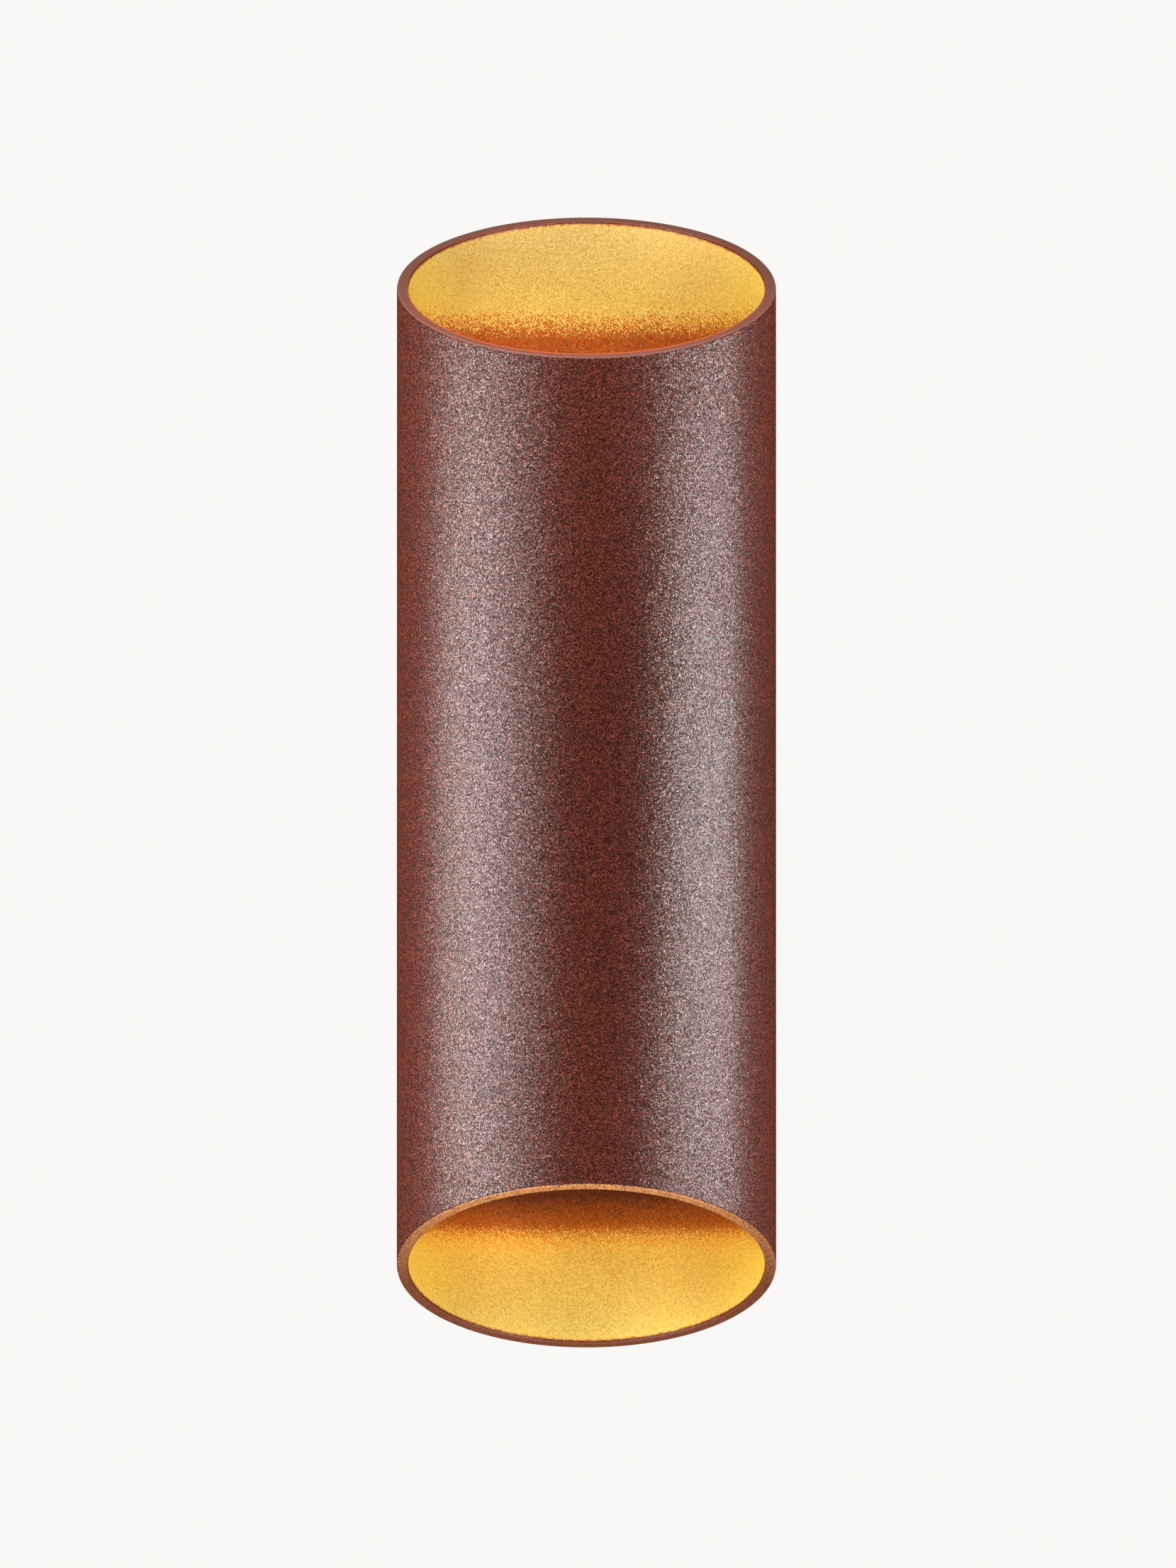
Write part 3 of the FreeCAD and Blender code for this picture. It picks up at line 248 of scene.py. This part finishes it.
# %% [markdown]
# ## Snoots for the mouths
#
# The gold inside glows far brighter than those softboxes would make it, so more lamps look into the mouths.
# A snoot is a tube on a lamp that keeps its beam narrow. Here it is a spot lamp one metre away, aimed at the
# far wall of one mouth. None stands further round than 60 degrees, because from there on such a beam would
# draw a hard white strip down the outside of the tube.

# %% Snoots
# Each row: name, degrees round from the camera, degrees up, watts.
UPPER_SNOOTS = (
    ("middle", 0, 45, 28),
    ("near", 25, 45, 22),
    ("right", 60, 45, 54),
    ("level", 50, 25, 19),
    ("left", -50, 45, 18),
)
LOWER_SNOOTS = (
    ("left", -50, -6, 6),
    ("near", 50, -6, 13),
    ("level", 50, -25, 9),
    ("right", 50, -45, 30),
    ("middle", 0, -45, 8),
)
SNOOT_RADIUS = 0.09
BEAM = math.radians(9)
PAST_AXIS = 0.03
MOUTH_LEVEL = 0.13

for sign, half, snoots in ((1, "upper", UPPER_SNOOTS), (-1, "lower", LOWER_SNOOTS)):
    for name, around, rise, watts in snoots:
        data = bpy.data.lights.new(f"{half}_snoot_{name}", "SPOT")
        data.energy = watts
        data.shadow_soft_size = SNOOT_RADIUS
        data.spot_size = BEAM
        data.spot_blend = 1.0
        aim = MIDDLE + Vector((0, 0, sign * MOUTH_LEVEL)) - direction(around, 0) * PAST_AXIS
        place_lamp(f"{half}_snoot_{name}", data, aim + direction(around, rise), aim)
print("snoots:", len(UPPER_SNOOTS) + len(LOWER_SNOOTS))

# %% [markdown]
# ## The floor
#
# A pale floor far below keeps the lamp's soft shadow. It could be plain white paint, but then a horizon would
# show. So camera rays see most of it glow in the background's colour, and all of it from four metres out.
# From underneath it is clear, because a wall lamp is looked at from below too.

# %% Floor
FLOOR_DROP = 1.1
FLOOR_RADIUS = 5
FADE_START = 1.0
FADE_END = 4.0
GLOW_SHARE = 0.75

floor_mesh = bpy.data.meshes.new("floor")
work = bmesh.new()
bmesh.ops.create_circle(work, cap_ends=True, segments=64, radius=FLOOR_RADIUS)
bmesh.ops.translate(work, verts=work.verts, vec=(0, TUBE_AXIS, -FLOOR_DROP))
work.to_mesh(floor_mesh)
work.free()
floor = bpy.data.objects.new("floor", floor_mesh)
scene.collection.objects.link(floor)
floor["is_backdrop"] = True

pale_floor, tree, place = new_finish("pale_floor")
ray = add_node(tree, "LightPath").outputs
seen = add_node(tree, "Math", {0: ray["Is Camera Ray"], 1: ray["Is Transmission Ray"]}, operation="MAXIMUM")
matt = add_node(tree, "BsdfDiffuse", {"Color": to_linear("ECEAE6")})
glow = add_node(tree, "Emission", {"Color": to_linear(PALE), "Strength": 1.0})
flat = add_node(tree, "VectorMath", {0: place, 1: (1, 1, 0)}, operation="MULTIPLY")
away = add_node(tree, "VectorMath", {0: flat.outputs[0]}, operation="LENGTH")
away = away.outputs["Value"]
fade = {"Value": away, "From Min": FADE_START, "From Max": FADE_END, "To Min": GLOW_SHARE}
fade = add_node(tree, "MapRange", fade)
share = add_node(tree, "Math", {0: seen.outputs[0], 1: fade.outputs[0]}, operation="MULTIPLY")
top = add_node(tree, "MixShader", {0: share.outputs[0], 1: matt.outputs[0], 2: glow.outputs[0]})
below = add_node(tree, "NewGeometry").outputs["Backfacing"]
clear = add_node(tree, "BsdfTransparent")
both = add_node(tree, "MixShader", {0: below, 1: top.outputs[0], 2: clear.outputs[0]})
close_finish(tree, both.outputs[0])
floor_mesh.materials.append(pale_floor)
print("floor:", FLOOR_DROP, "m below the lamp's middle")

# %% [markdown]
# ## Grains for the coats
#
# Both coats are powder coat: dry polyester powder, baked until it melts into a skin, here a sandy one. Its
# grains could be real bumps in the mesh, but there are millions. A Voronoi texture cuts the surface into
# cells instead, and each cell gets a random number and a normal that leans its own way. Real grains are
# about a tenth of a millimetre wide, less than a pixel of the photograph. They are drawn over twice as wide,
# or a picture of the whole lamp wouldn't show them.

# %% Scatter grains
def scatter_grains(tree, place, size, tilt):
    """A random number for each grain, and a normal that leans another way on each."""
    grains = add_node(tree, "TexVoronoi", {"Vector": place, "Scale": 1 / size}).outputs
    chance = add_node(tree, "TexWhiteNoise", {"Vector": grains["Position"]})
    aside = add_node(tree, "VectorMath", {0: grains["Color"], 1: (0.5, 0.5, 0.5)}, operation="SUBTRACT")
    lean = add_node(tree, "VectorMath", {0: aside.outputs[0], "Scale": tilt}, operation="SCALE")
    straight = add_node(tree, "NewGeometry").outputs["Normal"]
    facing = add_node(tree, "VectorMath", {0: straight, 1: lean.outputs[0]}, operation="ADD")
    facing = add_node(tree, "VectorMath", {0: facing.outputs[0]}, operation="NORMALIZE")
    return chance.outputs["Value"], facing.outputs[0]


pixel = SENSOR_WIDTH / FOCAL_LENGTH * DISTANCE / 2212
print("a pixel of the photograph is", round(pixel / MM, 2), "mm wide on the lamp")

# %% [markdown]
# ## The rust brown coat
#
# The outer coat gives the eye a dark brown with brick red grains, and a dry glitter in the highlights. The
# brown runs from almost black to red along a ramp of the grains' random number, and the same number gives
# some grains more shine. Plastic like this has an IOR of 1.5. At a slant, sandy grains stand in each other's
# way and mirror less than a smooth skin would, so there the shine goes down and the coat gets duller.

# %% Rust brown powder coat
GRAIN = 0.24 * MM
GRAIN_TILT = 0.32
SHINY_FEW = 1.6
SHINE = (0.1, 0.9)
ROUGH_FRONT = 0.33
ROUGH_SLANT = 0.6
SLANT_START = 0.35
SLANT_END = 0.95

rust, tree, place = new_finish("rust_powder_coat")
chance, facing = scatter_grains(tree, place, GRAIN, GRAIN_TILT)
colour = add_node(tree, "ValToRGB", {0: chance})
stops = colour.color_ramp.elements
stops[0].color = to_linear("220E08")
stops[1].color = to_linear("9A3C28")
stops.new(0.5).color = to_linear("401A10")
stops.new(0.85).color = to_linear("58281B")
few = add_node(tree, "Math", {0: chance, 1: SHINY_FEW}, operation="POWER")
shine = add_node(tree, "MapRange", {"Value": few.outputs[0], "To Min": SHINE[0], "To Max": SHINE[1]})
aslant = add_node(tree, "LayerWeight", {"Blend": 0.5}).outputs["Facing"]
front = {"Value": aslant, "From Min": SLANT_START, "From Max": SLANT_END, "To Min": 1.0, "To Max": 0.0}
front = add_node(tree, "MapRange", front)
shine = add_node(tree, "Math", {0: shine.outputs[0], 1: front.outputs[0]}, operation="MULTIPLY")
dull = add_node(tree, "MapRange", {"Value": front.outputs[0], "To Min": ROUGH_SLANT, "To Max": ROUGH_FRONT})
inputs = {"Base Color": colour.outputs[0], "Roughness": dull.outputs[0], "IOR": 1.5, "Normal": facing,
          "Specular IOR Level": shine.outputs[0]}
close_finish(tree, add_node(tree, "BsdfPrincipled", inputs).outputs[0])
print("rust: grains", GRAIN / MM, "mm apart, roughness", ROUGH_FRONT, "in front,", ROUGH_SLANT, "at a slant")

# %% [markdown]
# ## The gold coat inside
#
# Inside, the powder holds mica flakes that shine like brass. It could be a plain metal, but most of the light
# is scattered by the plastic round the flakes, so it is only part metallic and rather rough. Each flake gets
# a yellow of its own.

# %% Gold flakes
FLAKE = 0.28 * MM
FLAKE_TILT = 0.3

gold, tree, place = new_finish("gold_powder_coat")
chance, facing = scatter_grains(tree, place, FLAKE, FLAKE_TILT)
flakes = add_node(tree, "ValToRGB", {0: chance})
stops = flakes.color_ramp.elements
stops[0].color = to_linear("CC9A3E")
stops[1].color = to_linear("E9CA6E")
stops.new(0.3).color = to_linear("DDB659")
spot = add_node(tree, "SeparateXYZ", {0: place}).outputs
height = add_node(tree, "Math", {0: spot["Z"]}, operation="ABSOLUTE")
upper = add_node(tree, "Math", {0: spot["Z"], 1: 0.0}, operation="GREATER_THAN")
print("flakes are drawn", FLAKE / MM, "mm apart")

# %% [markdown]
# Tape kept the gold off the rim and left a ragged edge less than a millimetre below it. That edge follows the
# saw cut, so the shader works out how far each point lies below both sawn planes, and noise frays the border.

# %% Masked edge
MASKED = 0.7 * MM
MASK_START = 0.6 * MM
MASK_END = 1.1 * MM
FRAY = 1.5 * MM

depths = []
for sign in (1, -1):
    sawn = (0, -math.sin(SLANT), sign * math.cos(SLANT))
    reach = Vector(sawn).dot(Vector((0, TUBE_BACK, sign * HALF_TALL)))
    along = add_node(tree, "VectorMath", {0: place, 1: sawn}, operation="DOT_PRODUCT").outputs["Value"]
    depths.append(add_node(tree, "Math", {0: reach, 1: along}, operation="SUBTRACT").outputs[0])
depth = add_node(tree, "Math", {0: depths[0], 1: depths[1]}, operation="MINIMUM")
fray = add_node(tree, "TexNoise", {"Vector": place, "Scale": 1 / FRAY, "Detail": 3, "Roughness": 0.7})
ragged = add_node(tree, "MapRange", {"Value": fray.outputs["Fac"], "To Min": -MASKED, "To Max": MASKED})
border = add_node(tree, "Math", {0: depth.outputs[0], 1: ragged.outputs[0]}, operation="ADD")
cover = add_node(tree, "MapRange", {"Value": border.outputs[0], "From Min": MASK_START, "From Max": MASK_END})
print("gold stops", (MASK_START + MASK_END) / 2 / MM, "mm below the rim")

# %% [markdown]
# The spray gun reached in only so far. At one level height the gold ends in a band of specks, and below it
# the coat is thin and orange. In the lower mouth that orange is painted darker further in, to dark brown, as
# painted shade. Each flake's random number shifts the border for it, so that flakes and not a line make the
# edge.

# %% Thin coat and painted shade further in
SPRAY_REACH = 121.5 * MM
SPRAY_EDGE = 4 * MM
SPRAY_BLUR = 1 * MM
PAINTED_SHADE_FADE = 12 * MM
DUSTY = (1.4, 0.5)

drift = add_node(tree, "MapRange", {"Value": chance, "To Min": -SPRAY_EDGE, "To Max": SPRAY_EDGE})
spray = add_node(tree, "Math", {0: height.outputs[0], 1: drift.outputs[0]}, operation="ADD")
spray = spray.outputs[0]
sprayed = {"Value": spray, "From Min": SPRAY_REACH - SPRAY_BLUR, "From Max": SPRAY_REACH + SPRAY_BLUR}
sprayed = add_node(tree, "MapRange", sprayed)
# Painted shade: in the lower mouth the thin coat runs from orange at the border to dark brown further in.
deep = {"Value": spot["Z"], "From Min": -SPRAY_REACH, "From Max": -SPRAY_REACH + PAINTED_SHADE_FADE}
deep = add_node(tree, "MapRange", deep)
under = add_node(tree, "ValToRGB", {0: deep.outputs[0]})
stops = under.color_ramp.elements
stops[0].color = to_linear("E89024")
stops[1].color = to_linear("70300A")
stops.new(0.3).color = to_linear("C76211")
thin = {0: upper.outputs[0], FIRST: under.outputs[0], SECOND: to_linear("BC5B18")}
thin = add_node(tree, "Mix", thin, data_type="RGBA")
dusty = add_node(tree, "MapRange", {"Value": chance, "To Min": DUSTY[0], "To Max": DUSTY[1]})
grainy = add_node(tree, "VectorMath", {0: thin.outputs[RESULT], "Scale": dusty.outputs[0]}, operation="SCALE")
print("gold reaches in to", SPRAY_REACH / MM, "mm from the lamp's middle")

# %% [markdown]
# The full coat isn't one yellow either. It is painted warmer towards the border, as painted warm light that
# bounces inside the tube, and painted yellower at the sides, as a painted sheen where the side lamps shine
# in.
# Both are factors that multiply the flakes' colour. A ramp could hold them too, but factors keep the flakes'
# own differences.

# %% Painted warmth and sheen of the gold
WARM_FADE = 22 * MM
LOWER_WARMTH = ((1.34, 1.12, 0.64, 1), (1.08, 1.08, 0.92, 1))
UPPER_WARMTH = ((1.2, 1.18, 0.92, 1), (0.97, 0.98, 1.14, 1))
PAINTED_SIDE_SHEEN = (1.12, 1.26, 1.0, 1)
SIDE_SHEEN_START = 0.7 * BORE

# Painted light: warm bounce light is painted into the gold, strongest at the spray border and fading towards
# the rim.
further = {"Value": height.outputs[0], "From Min": SPRAY_REACH, "From Max": SPRAY_REACH + WARM_FADE}
further = add_node(tree, "MapRange", further)
warmths = []
for near_border, near_rim in (LOWER_WARMTH, UPPER_WARMTH):
    half = {0: further.outputs[0], FIRST: near_border, SECOND: near_rim}
    warmths.append(add_node(tree, "Mix", half, data_type="RGBA").outputs[RESULT])
warmth = {0: upper.outputs[0], FIRST: warmths[0], SECOND: warmths[1]}
warmth = add_node(tree, "Mix", warmth, data_type="RGBA")
bounce_painted = {0: 1.0, FIRST: flakes.outputs[0], SECOND: warmth.outputs[RESULT]}
bounce_painted = add_node(tree, "Mix", bounce_painted, data_type="RGBA", blend_type="MULTIPLY")
# Painted sheen: towards the sides of each mouth the gold is painted yellower and brighter.
aside = add_node(tree, "Math", {0: spot["X"]}, operation="ABSOLUTE")
aside = add_node(tree, "MapRange", {"Value": aside.outputs[0], "From Min": SIDE_SHEEN_START, "From Max": BORE})
side_sheen = {0: aside.outputs[0], FIRST: (1, 1, 1, 1), SECOND: PAINTED_SIDE_SHEEN}
side_sheen = add_node(tree, "Mix", side_sheen, data_type="RGBA")
painted_light_coat = {0: 1.0, FIRST: bounce_painted.outputs[RESULT], SECOND: side_sheen.outputs[RESULT]}
painted_light_coat = add_node(tree, "Mix", painted_light_coat, data_type="RGBA", blend_type="MULTIPLY")
print("side yellow starts", round(SIDE_SHEEN_START / MM, 1), "mm from the middle")

# %% [markdown]
# Last, the layers go over each other: the thin coat deep inside, the full one above it, and a dusty orange
# where the tape kept most of the gold off. The plastic round the flakes has little gloss of its own, so its
# specular level is low.

# %% Gold powder coat
coat = {0: sprayed.outputs[0], FIRST: grainy.outputs[0], SECOND: painted_light_coat.outputs[RESULT]}
coat = add_node(tree, "Mix", coat, data_type="RGBA")
tint = {0: cover.outputs[0], FIRST: to_linear("B04E1C"), SECOND: coat.outputs[RESULT]}
tint = add_node(tree, "Mix", tint, data_type="RGBA")
inputs = {"Base Color": tint.outputs[RESULT], "Metallic": 0.3, "Roughness": 0.55, "Specular IOR Level": 0.25,
          "Normal": facing}
close_finish(tree, add_node(tree, "BsdfPrincipled", inputs).outputs[0])
print("gold coat:", len(tree.nodes), "nodes")

# %% [markdown]
# ## The sawn rims
#
# The rims are paler than the sides, partly as a painted sheen, and painted lighter at the front than at the
# back, as painted light.
# Some dust of the gold spray has settled on the lower rim, and looks like copper with dark specks. Two
# materials could do it, but one that asks whether a point lies above or below the lamp's middle is shorter.

# %% Colours of the rims
RIM_TILT = 0.25
PAINTED_LIGHT_BACK = TUBE_AXIS + 10 * MM

rim_coat, tree, place = new_finish("rim_powder_coat")
spot = add_node(tree, "SeparateXYZ", {0: place}).outputs
chance, facing = scatter_grains(tree, place, FLAKE, RIM_TILT)
# Painted light: the rims' colours run from lighter at the front to darker at the back.
fade = {"Value": spot["Y"], "From Min": tube_low.y, "From Max": PAINTED_LIGHT_BACK}
fade = add_node(tree, "MapRange", fade).outputs[0]
brown = {0: fade, FIRST: to_linear("8A5444"), SECOND: to_linear("653F33")}
brown = add_node(tree, "Mix", brown, data_type="RGBA")
copper = {0: fade, FIRST: to_linear("C4824A"), SECOND: to_linear("683418")}
copper = add_node(tree, "Mix", copper, data_type="RGBA")
specks = add_node(tree, "MapRange", {"Value": chance, "From Min": 0.1, "From Max": 0.5})
speckled = {0: specks.outputs[0], FIRST: to_linear("3E1A0A"), SECOND: copper.outputs[RESULT]}
speckled = add_node(tree, "Mix", speckled, data_type="RGBA")
lower = add_node(tree, "Math", {0: spot["Z"], 1: 0.0}, operation="LESS_THAN").outputs[0]
tint = {0: lower, FIRST: brown.outputs[RESULT], SECOND: speckled.outputs[RESULT]}
tint = add_node(tree, "Mix", tint, data_type="RGBA")
print("rims fade over", round((PAINTED_LIGHT_BACK - tube_low.y) / MM), "mm")

# %% [markdown]
# A thin red line runs along each rim's inner edge, where the two coats meet: dark at the back, and at the
# front of the upper rim wider, and painted brighter there as painted light. The shader measures how far a
# point lies from the tube's axis, and the grains' random number frays the line.

# %% Red line on the rims
LINE_START = 0.2 * MM
LINE_END = 0.4 * MM
LINE_FRAY = 0.15 * MM
LINE_WIDER = 0.8 * MM

# Painted light: the upper rim's red line is brighter at the front and darker at the back.
red = {0: fade, FIRST: to_linear("E0603A"), SECOND: to_linear("7A2C12")}
red = add_node(tree, "Mix", red, data_type="RGBA")
line = {0: lower, FIRST: red.outputs[RESULT], SECOND: to_linear("6A2E10")}
line = add_node(tree, "Mix", line, data_type="RGBA")
centred = add_node(tree, "VectorMath", {0: place, 1: (0, TUBE_AXIS, 0)}, operation="SUBTRACT")
flat = add_node(tree, "VectorMath", {0: centred.outputs[0], 1: (1, 1, 0)}, operation="MULTIPLY")
radius = add_node(tree, "VectorMath", {0: flat.outputs[0]}, operation="LENGTH").outputs["Value"]
shift = add_node(tree, "MapRange", {"Value": chance, "To Min": -LINE_FRAY, "To Max": LINE_FRAY})
edge = add_node(tree, "Math", {0: radius, 1: shift.outputs[0]}, operation="ADD")
above = add_node(tree, "Math", {0: 1.0, 1: lower}, operation="SUBTRACT")
wider = add_node(tree, "MapRange", {"Value": fade, "To Min": LINE_WIDER, "To Max": 0.0})
wider = add_node(tree, "Math", {0: wider.outputs[0], 1: above.outputs[0]}, operation="MULTIPLY")
edge = add_node(tree, "Math", {0: edge.outputs[0], 1: wider.outputs[0]}, operation="SUBTRACT")
outside = {"Value": edge.outputs[0], "From Min": BORE + LINE_START, "From Max": BORE + LINE_END}
outside = add_node(tree, "MapRange", outside)
lined = {0: outside.outputs[0], FIRST: line.outputs[RESULT], SECOND: tint.outputs[RESULT]}
lined = add_node(tree, "Mix", lined, data_type="RGBA")
inputs = {"Base Color": lined.outputs[RESULT], "Roughness": 0.5, "Specular IOR Level": 0.25, "Normal": facing}
close_finish(tree, add_node(tree, "BsdfPrincipled", inputs).outputs[0])
print("rims are", round(BORE / TUBE_RADIUS, 2), "of the width inside")

# %% [markdown]
# ## The tube
#
# A real tube is drawn, sawn on the slant and deburred, which rounds each rim by about half a millimetre. It
# could be the CAD solid as it is, but its knife-sharp rims catch no light. Here the wall's section, a slim
# rectangle, spins once round the axis. The saw is a formula: every corner of the section slides up or down
# to the slanted plane, so both rims come out flat. A small bevel then rounds their edges.

# %% Spin and saw the tube
SEGMENTS = 192
SHARP = math.radians(40)
RIM_ROUND = 0.6 * MM


def rim_height(y):
    """How high the sawn plane lies at a distance y from the wall."""
    return HALF_TALL - (TUBE_BACK - y) * math.tan(SLANT)


work = bmesh.new()
corners = []
for radius, side in ((TUBE_RADIUS, -1), (TUBE_RADIUS, 1), (BORE, 1), (BORE, -1)):
    corners.append(work.verts.new((radius, TUBE_AXIS, side * HALF_TALL)))
section = [work.edges.new((corners[i], corners[(i + 1) % 4])) for i in range(4)]
bmesh.ops.spin(work, geom=corners + section, cent=(0, TUBE_AXIS, 0), axis=(0, 0, 1), angle=math.radians(360),
               steps=SEGMENTS, use_merge=True)
bmesh.ops.remove_doubles(work, verts=work.verts, dist=1e-6)
for vert in work.verts:
    vert.co.z = math.copysign(rim_height(vert.co.y), vert.co.z)
bmesh.ops.recalc_face_normals(work, faces=work.faces)
sharp = [e for e in work.edges if e.calc_face_angle() > SHARP]
bmesh.ops.bevel(work, geom=sharp, offset=RIM_ROUND, offset_type="OFFSET", affect="EDGES", segments=3,
                profile=0.5, material=-1)
print(f"wall volume: {work.calc_volume() / MM ** 3:.0f} cubic mm")

# %% [markdown]
# Each face tells by its own direction which coat it wears: gold where it faces the axis, the rim's finish
# where it faces up or down, and rust brown elsewhere.

# %% Coat the tube
FACES_AXIS = 0.98
FACES_UP = 0.3

for face in work.faces:
    face.smooth = True
    middle = face.calc_center_median()
    inward = (Vector((0, TUBE_AXIS, middle.z)) - middle).normalized()
    face.material_index = int(face.normal.dot(inward) > FACES_AXIS)
    if abs(face.normal.z) > FACES_UP:
        face.material_index = 2
tube_mesh = bpy.data.meshes.new("tube_shell")
work.to_mesh(tube_mesh)
work.free()
for coat in (rust, gold, rim_coat):
    tube_mesh.materials.append(coat)
tube = bpy.data.objects.new("tube_shell", tube_mesh)
scene.collection.objects.link(tube)
print("coats on the tube:", [coat.name for coat in tube_mesh.materials])

# %% [markdown]
# A drill is a plain cylinder, and a Boolean modifier takes it away from the wall. Two holes are for the
# fixing screws, and the third is where the sleeve with the leads goes through.

# %% Drill the tube
SCREW_LEVEL = 55 * MM
SCREW_HOLE = 2.75 * MM
SLEEVE_HOLE = 5.1 * MM
DRILL_LONG = 20 * MM


def drill(piece, at, radius):
    """Takes a round hole along Y out of a piece's wall at the lamp's back."""
    mesh = bpy.data.meshes.new("drill")
    bit = bmesh.new()
    turn = Matrix.Rotation(math.radians(90), 4, "X")
    bmesh.ops.create_cone(bit, cap_ends=True, segments=32, radius1=radius, radius2=radius, depth=DRILL_LONG,
                          matrix=Matrix.Translation(at) @ turn)
    bit.to_mesh(mesh)
    bit.free()
    cutter = bpy.data.objects.new("drill", mesh)
    scene.collection.objects.link(cutter)
    hole = piece.modifiers.new("hole", "BOOLEAN")
    hole.object = cutter
    hole.solver = "EXACT"
    bpy.context.view_layer.update()
    cut = bpy.data.meshes.new_from_object(piece.evaluated_get(bpy.context.evaluated_depsgraph_get()))
    piece.modifiers.clear()
    piece.data = cut
    bpy.data.objects.remove(cutter)


sleeve_low, sleeve_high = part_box("wire_sleeve")
SLEEVE_LEVEL = (sleeve_low.z + sleeve_high.z) / 2
for level, radius in ((SCREW_LEVEL, SCREW_HOLE), (-SCREW_LEVEL, SCREW_HOLE), (SLEEVE_LEVEL, SLEEVE_HOLE)):
    drill(tube, Vector((0, TUBE_BACK, level)), radius)
tube.data.name = "tube_shell"
even = tube.modifiers.new("even_shading", "WEIGHTED_NORMAL")
even.weight = 100
even.keep_sharp = True
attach(tube, "lamp_body")
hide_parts("housing_tube")
print("tube_shell:", len(tube.data.polygons), "faces")

# %% [markdown]
# ## Plain finishes for the inner pieces
#
# The pieces inside and behind are metal, rubber, ceramic and plastic. Each gets its typical IOR or metal
# colour and a roughness. They could be single flat colours, but no made surface is even, so a fine noise
# varies each one's colour, roughness and height a little. Its width is a real one, such as the spangle of
# zinc or the grit of a mould, but never under half a millimetre, because less wouldn't show.

# %% One maker of plain finishes
ROUGH_VARIES = 0.05
LOW_BUMP = 0.02 * MM


def plain_finish(name, colour, other, grain, rough, metal=0.0, ior=1.5, lift=LOW_BUMP, clear=0.0):
    """A material of two close colours in grains of a real size, with a little bump."""
    finish, tree, place = new_finish(name)
    noise = add_node(tree, "TexNoise", {"Vector": place, "Scale": 1 / grain, "Detail": 3, "Roughness": 0.6})
    noise = noise.outputs["Fac"]
    tint = {0: noise, FIRST: to_linear(colour), SECOND: to_linear(other)}
    tint = add_node(tree, "Mix", tint, data_type="RGBA")
    bump = add_node(tree, "Bump", {"Strength": 0.5, "Distance": lift, "Height": noise})
    sheen = {"Value": noise, "To Min": rough - ROUGH_VARIES, "To Max": rough + ROUGH_VARIES}
    sheen = add_node(tree, "MapRange", sheen)
    inputs = {"Base Color": tint.outputs[RESULT], "Metallic": metal, "Roughness": sheen.outputs[0],
              "IOR": ior, "Transmission Weight": clear, "Normal": bump.outputs[0]}
    close_finish(tree, add_node(tree, "BsdfPrincipled", inputs).outputs[0])
    return finish


print("plain finishes vary their roughness by", ROUGH_VARIES)

# %% [markdown]
# To the eye, zinc plate and aluminium are grey and softly bright, stainless, brass and nickel sharper. Rubber
# and foam stay nearly black and dull, and silicone is a milky grey. Steatite is the cream ceramic of
# lampholders. Bulb and terminal are pale plastic, and the leads have soft, coloured skins. The glass is
# clear with a breath of green.

# %% Finishes of the inner pieces
finishes = {
    "rust_powder_coat": rust,
    "gold_powder_coat": gold,
    "zinc_steel": plain_finish("zinc_plated_steel", "B4B8BA", "9EA3A6", 6 * MM, 0.38, metal=1.0),
    "stainless": plain_finish("turned_stainless", "B8B6B2", "A5A39F", 1 * MM, 0.3, metal=1.0),
    "can_aluminium": plain_finish("spun_aluminium", "C9CACC", "B9BBBE", 2 * MM, 0.42, metal=1.0),
    "aluminium_spacer": plain_finish("turned_aluminium", "C6C7C9", "B4B6B9", 1 * MM, 0.35, metal=1.0),
    "black_rubber": plain_finish("moulded_rubber", "161616", "222222", 1 * MM, 0.7, ior=1.52),
    "foam": plain_finish("closed_cell_foam", "141414", "242424", 0.8 * MM, 0.85, lift=0.1 * MM),
    "silicone": plain_finish("moulded_silicone", "D5D2CA", "C5C2BA", 2 * MM, 0.5, ior=1.41),
    "clear_glass": plain_finish("tempered_glass", "FFFFFF", "F8FFFC", 20 * MM, 0.06, ior=1.52,
                                lift=0.001 * MM, clear=1.0),
    "steatite": plain_finish("fired_steatite", "E6E0D2", "D8D2C4", 0.6 * MM, 0.6, ior=1.55),
    "brass": plain_finish("stamped_brass", "D2AE5C", "BE9A4C", 1 * MM, 0.3, metal=1.0),
    "bulb_casting": plain_finish("thermal_plastic", "E4E4E0", "D6D6D2", 0.8 * MM, 0.55),
    "bulb_lens": plain_finish("frosted_lens", "F2F2EC", "E8E8E2", 0.6 * MM, 0.35, ior=1.58),
    "nickel_pins": plain_finish("nickel_plate", "C9C4BA", "B9B4AA", 1 * MM, 0.2, metal=1.0),
    "terminal_plastic": plain_finish("moulded_polyamide", "E2DDCF", "D4CFC1", 1 * MM, 0.5, ior=1.53),
    "blue_insulation": plain_finish("blue_insulation", "24529C", "1C458A", 1 * MM, 0.45, ior=1.41),
    "brown_insulation": plain_finish("brown_insulation", "5A3420", "4C2A18", 1 * MM, 0.45, ior=1.41),
    "green_insulation": plain_finish("green_insulation", "4F8F2E", "C8C02A", 3 * MM, 0.45, ior=1.41),
}
for part in frame["record"]["subparts"]:
    for slot in frame["nodes"][part["node"]].material_slots:
        slot.material = finishes[part["material_slot"]]
print("finishes:", len(finishes))

# %% [markdown]
# ## Measure the boxes
#
# Both boxes, of the CAD model and of the dressed lamp, are printed, to show that nothing grew.

# %% Print the boxes
boxes = {"cad": [list(corner) for corner in cad_box], "visual": [list(corner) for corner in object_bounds()]}
for name, box in boxes.items():
    print(name, "box in mm:", [[round(x / MM, 2) for x in corner] for corner in box])
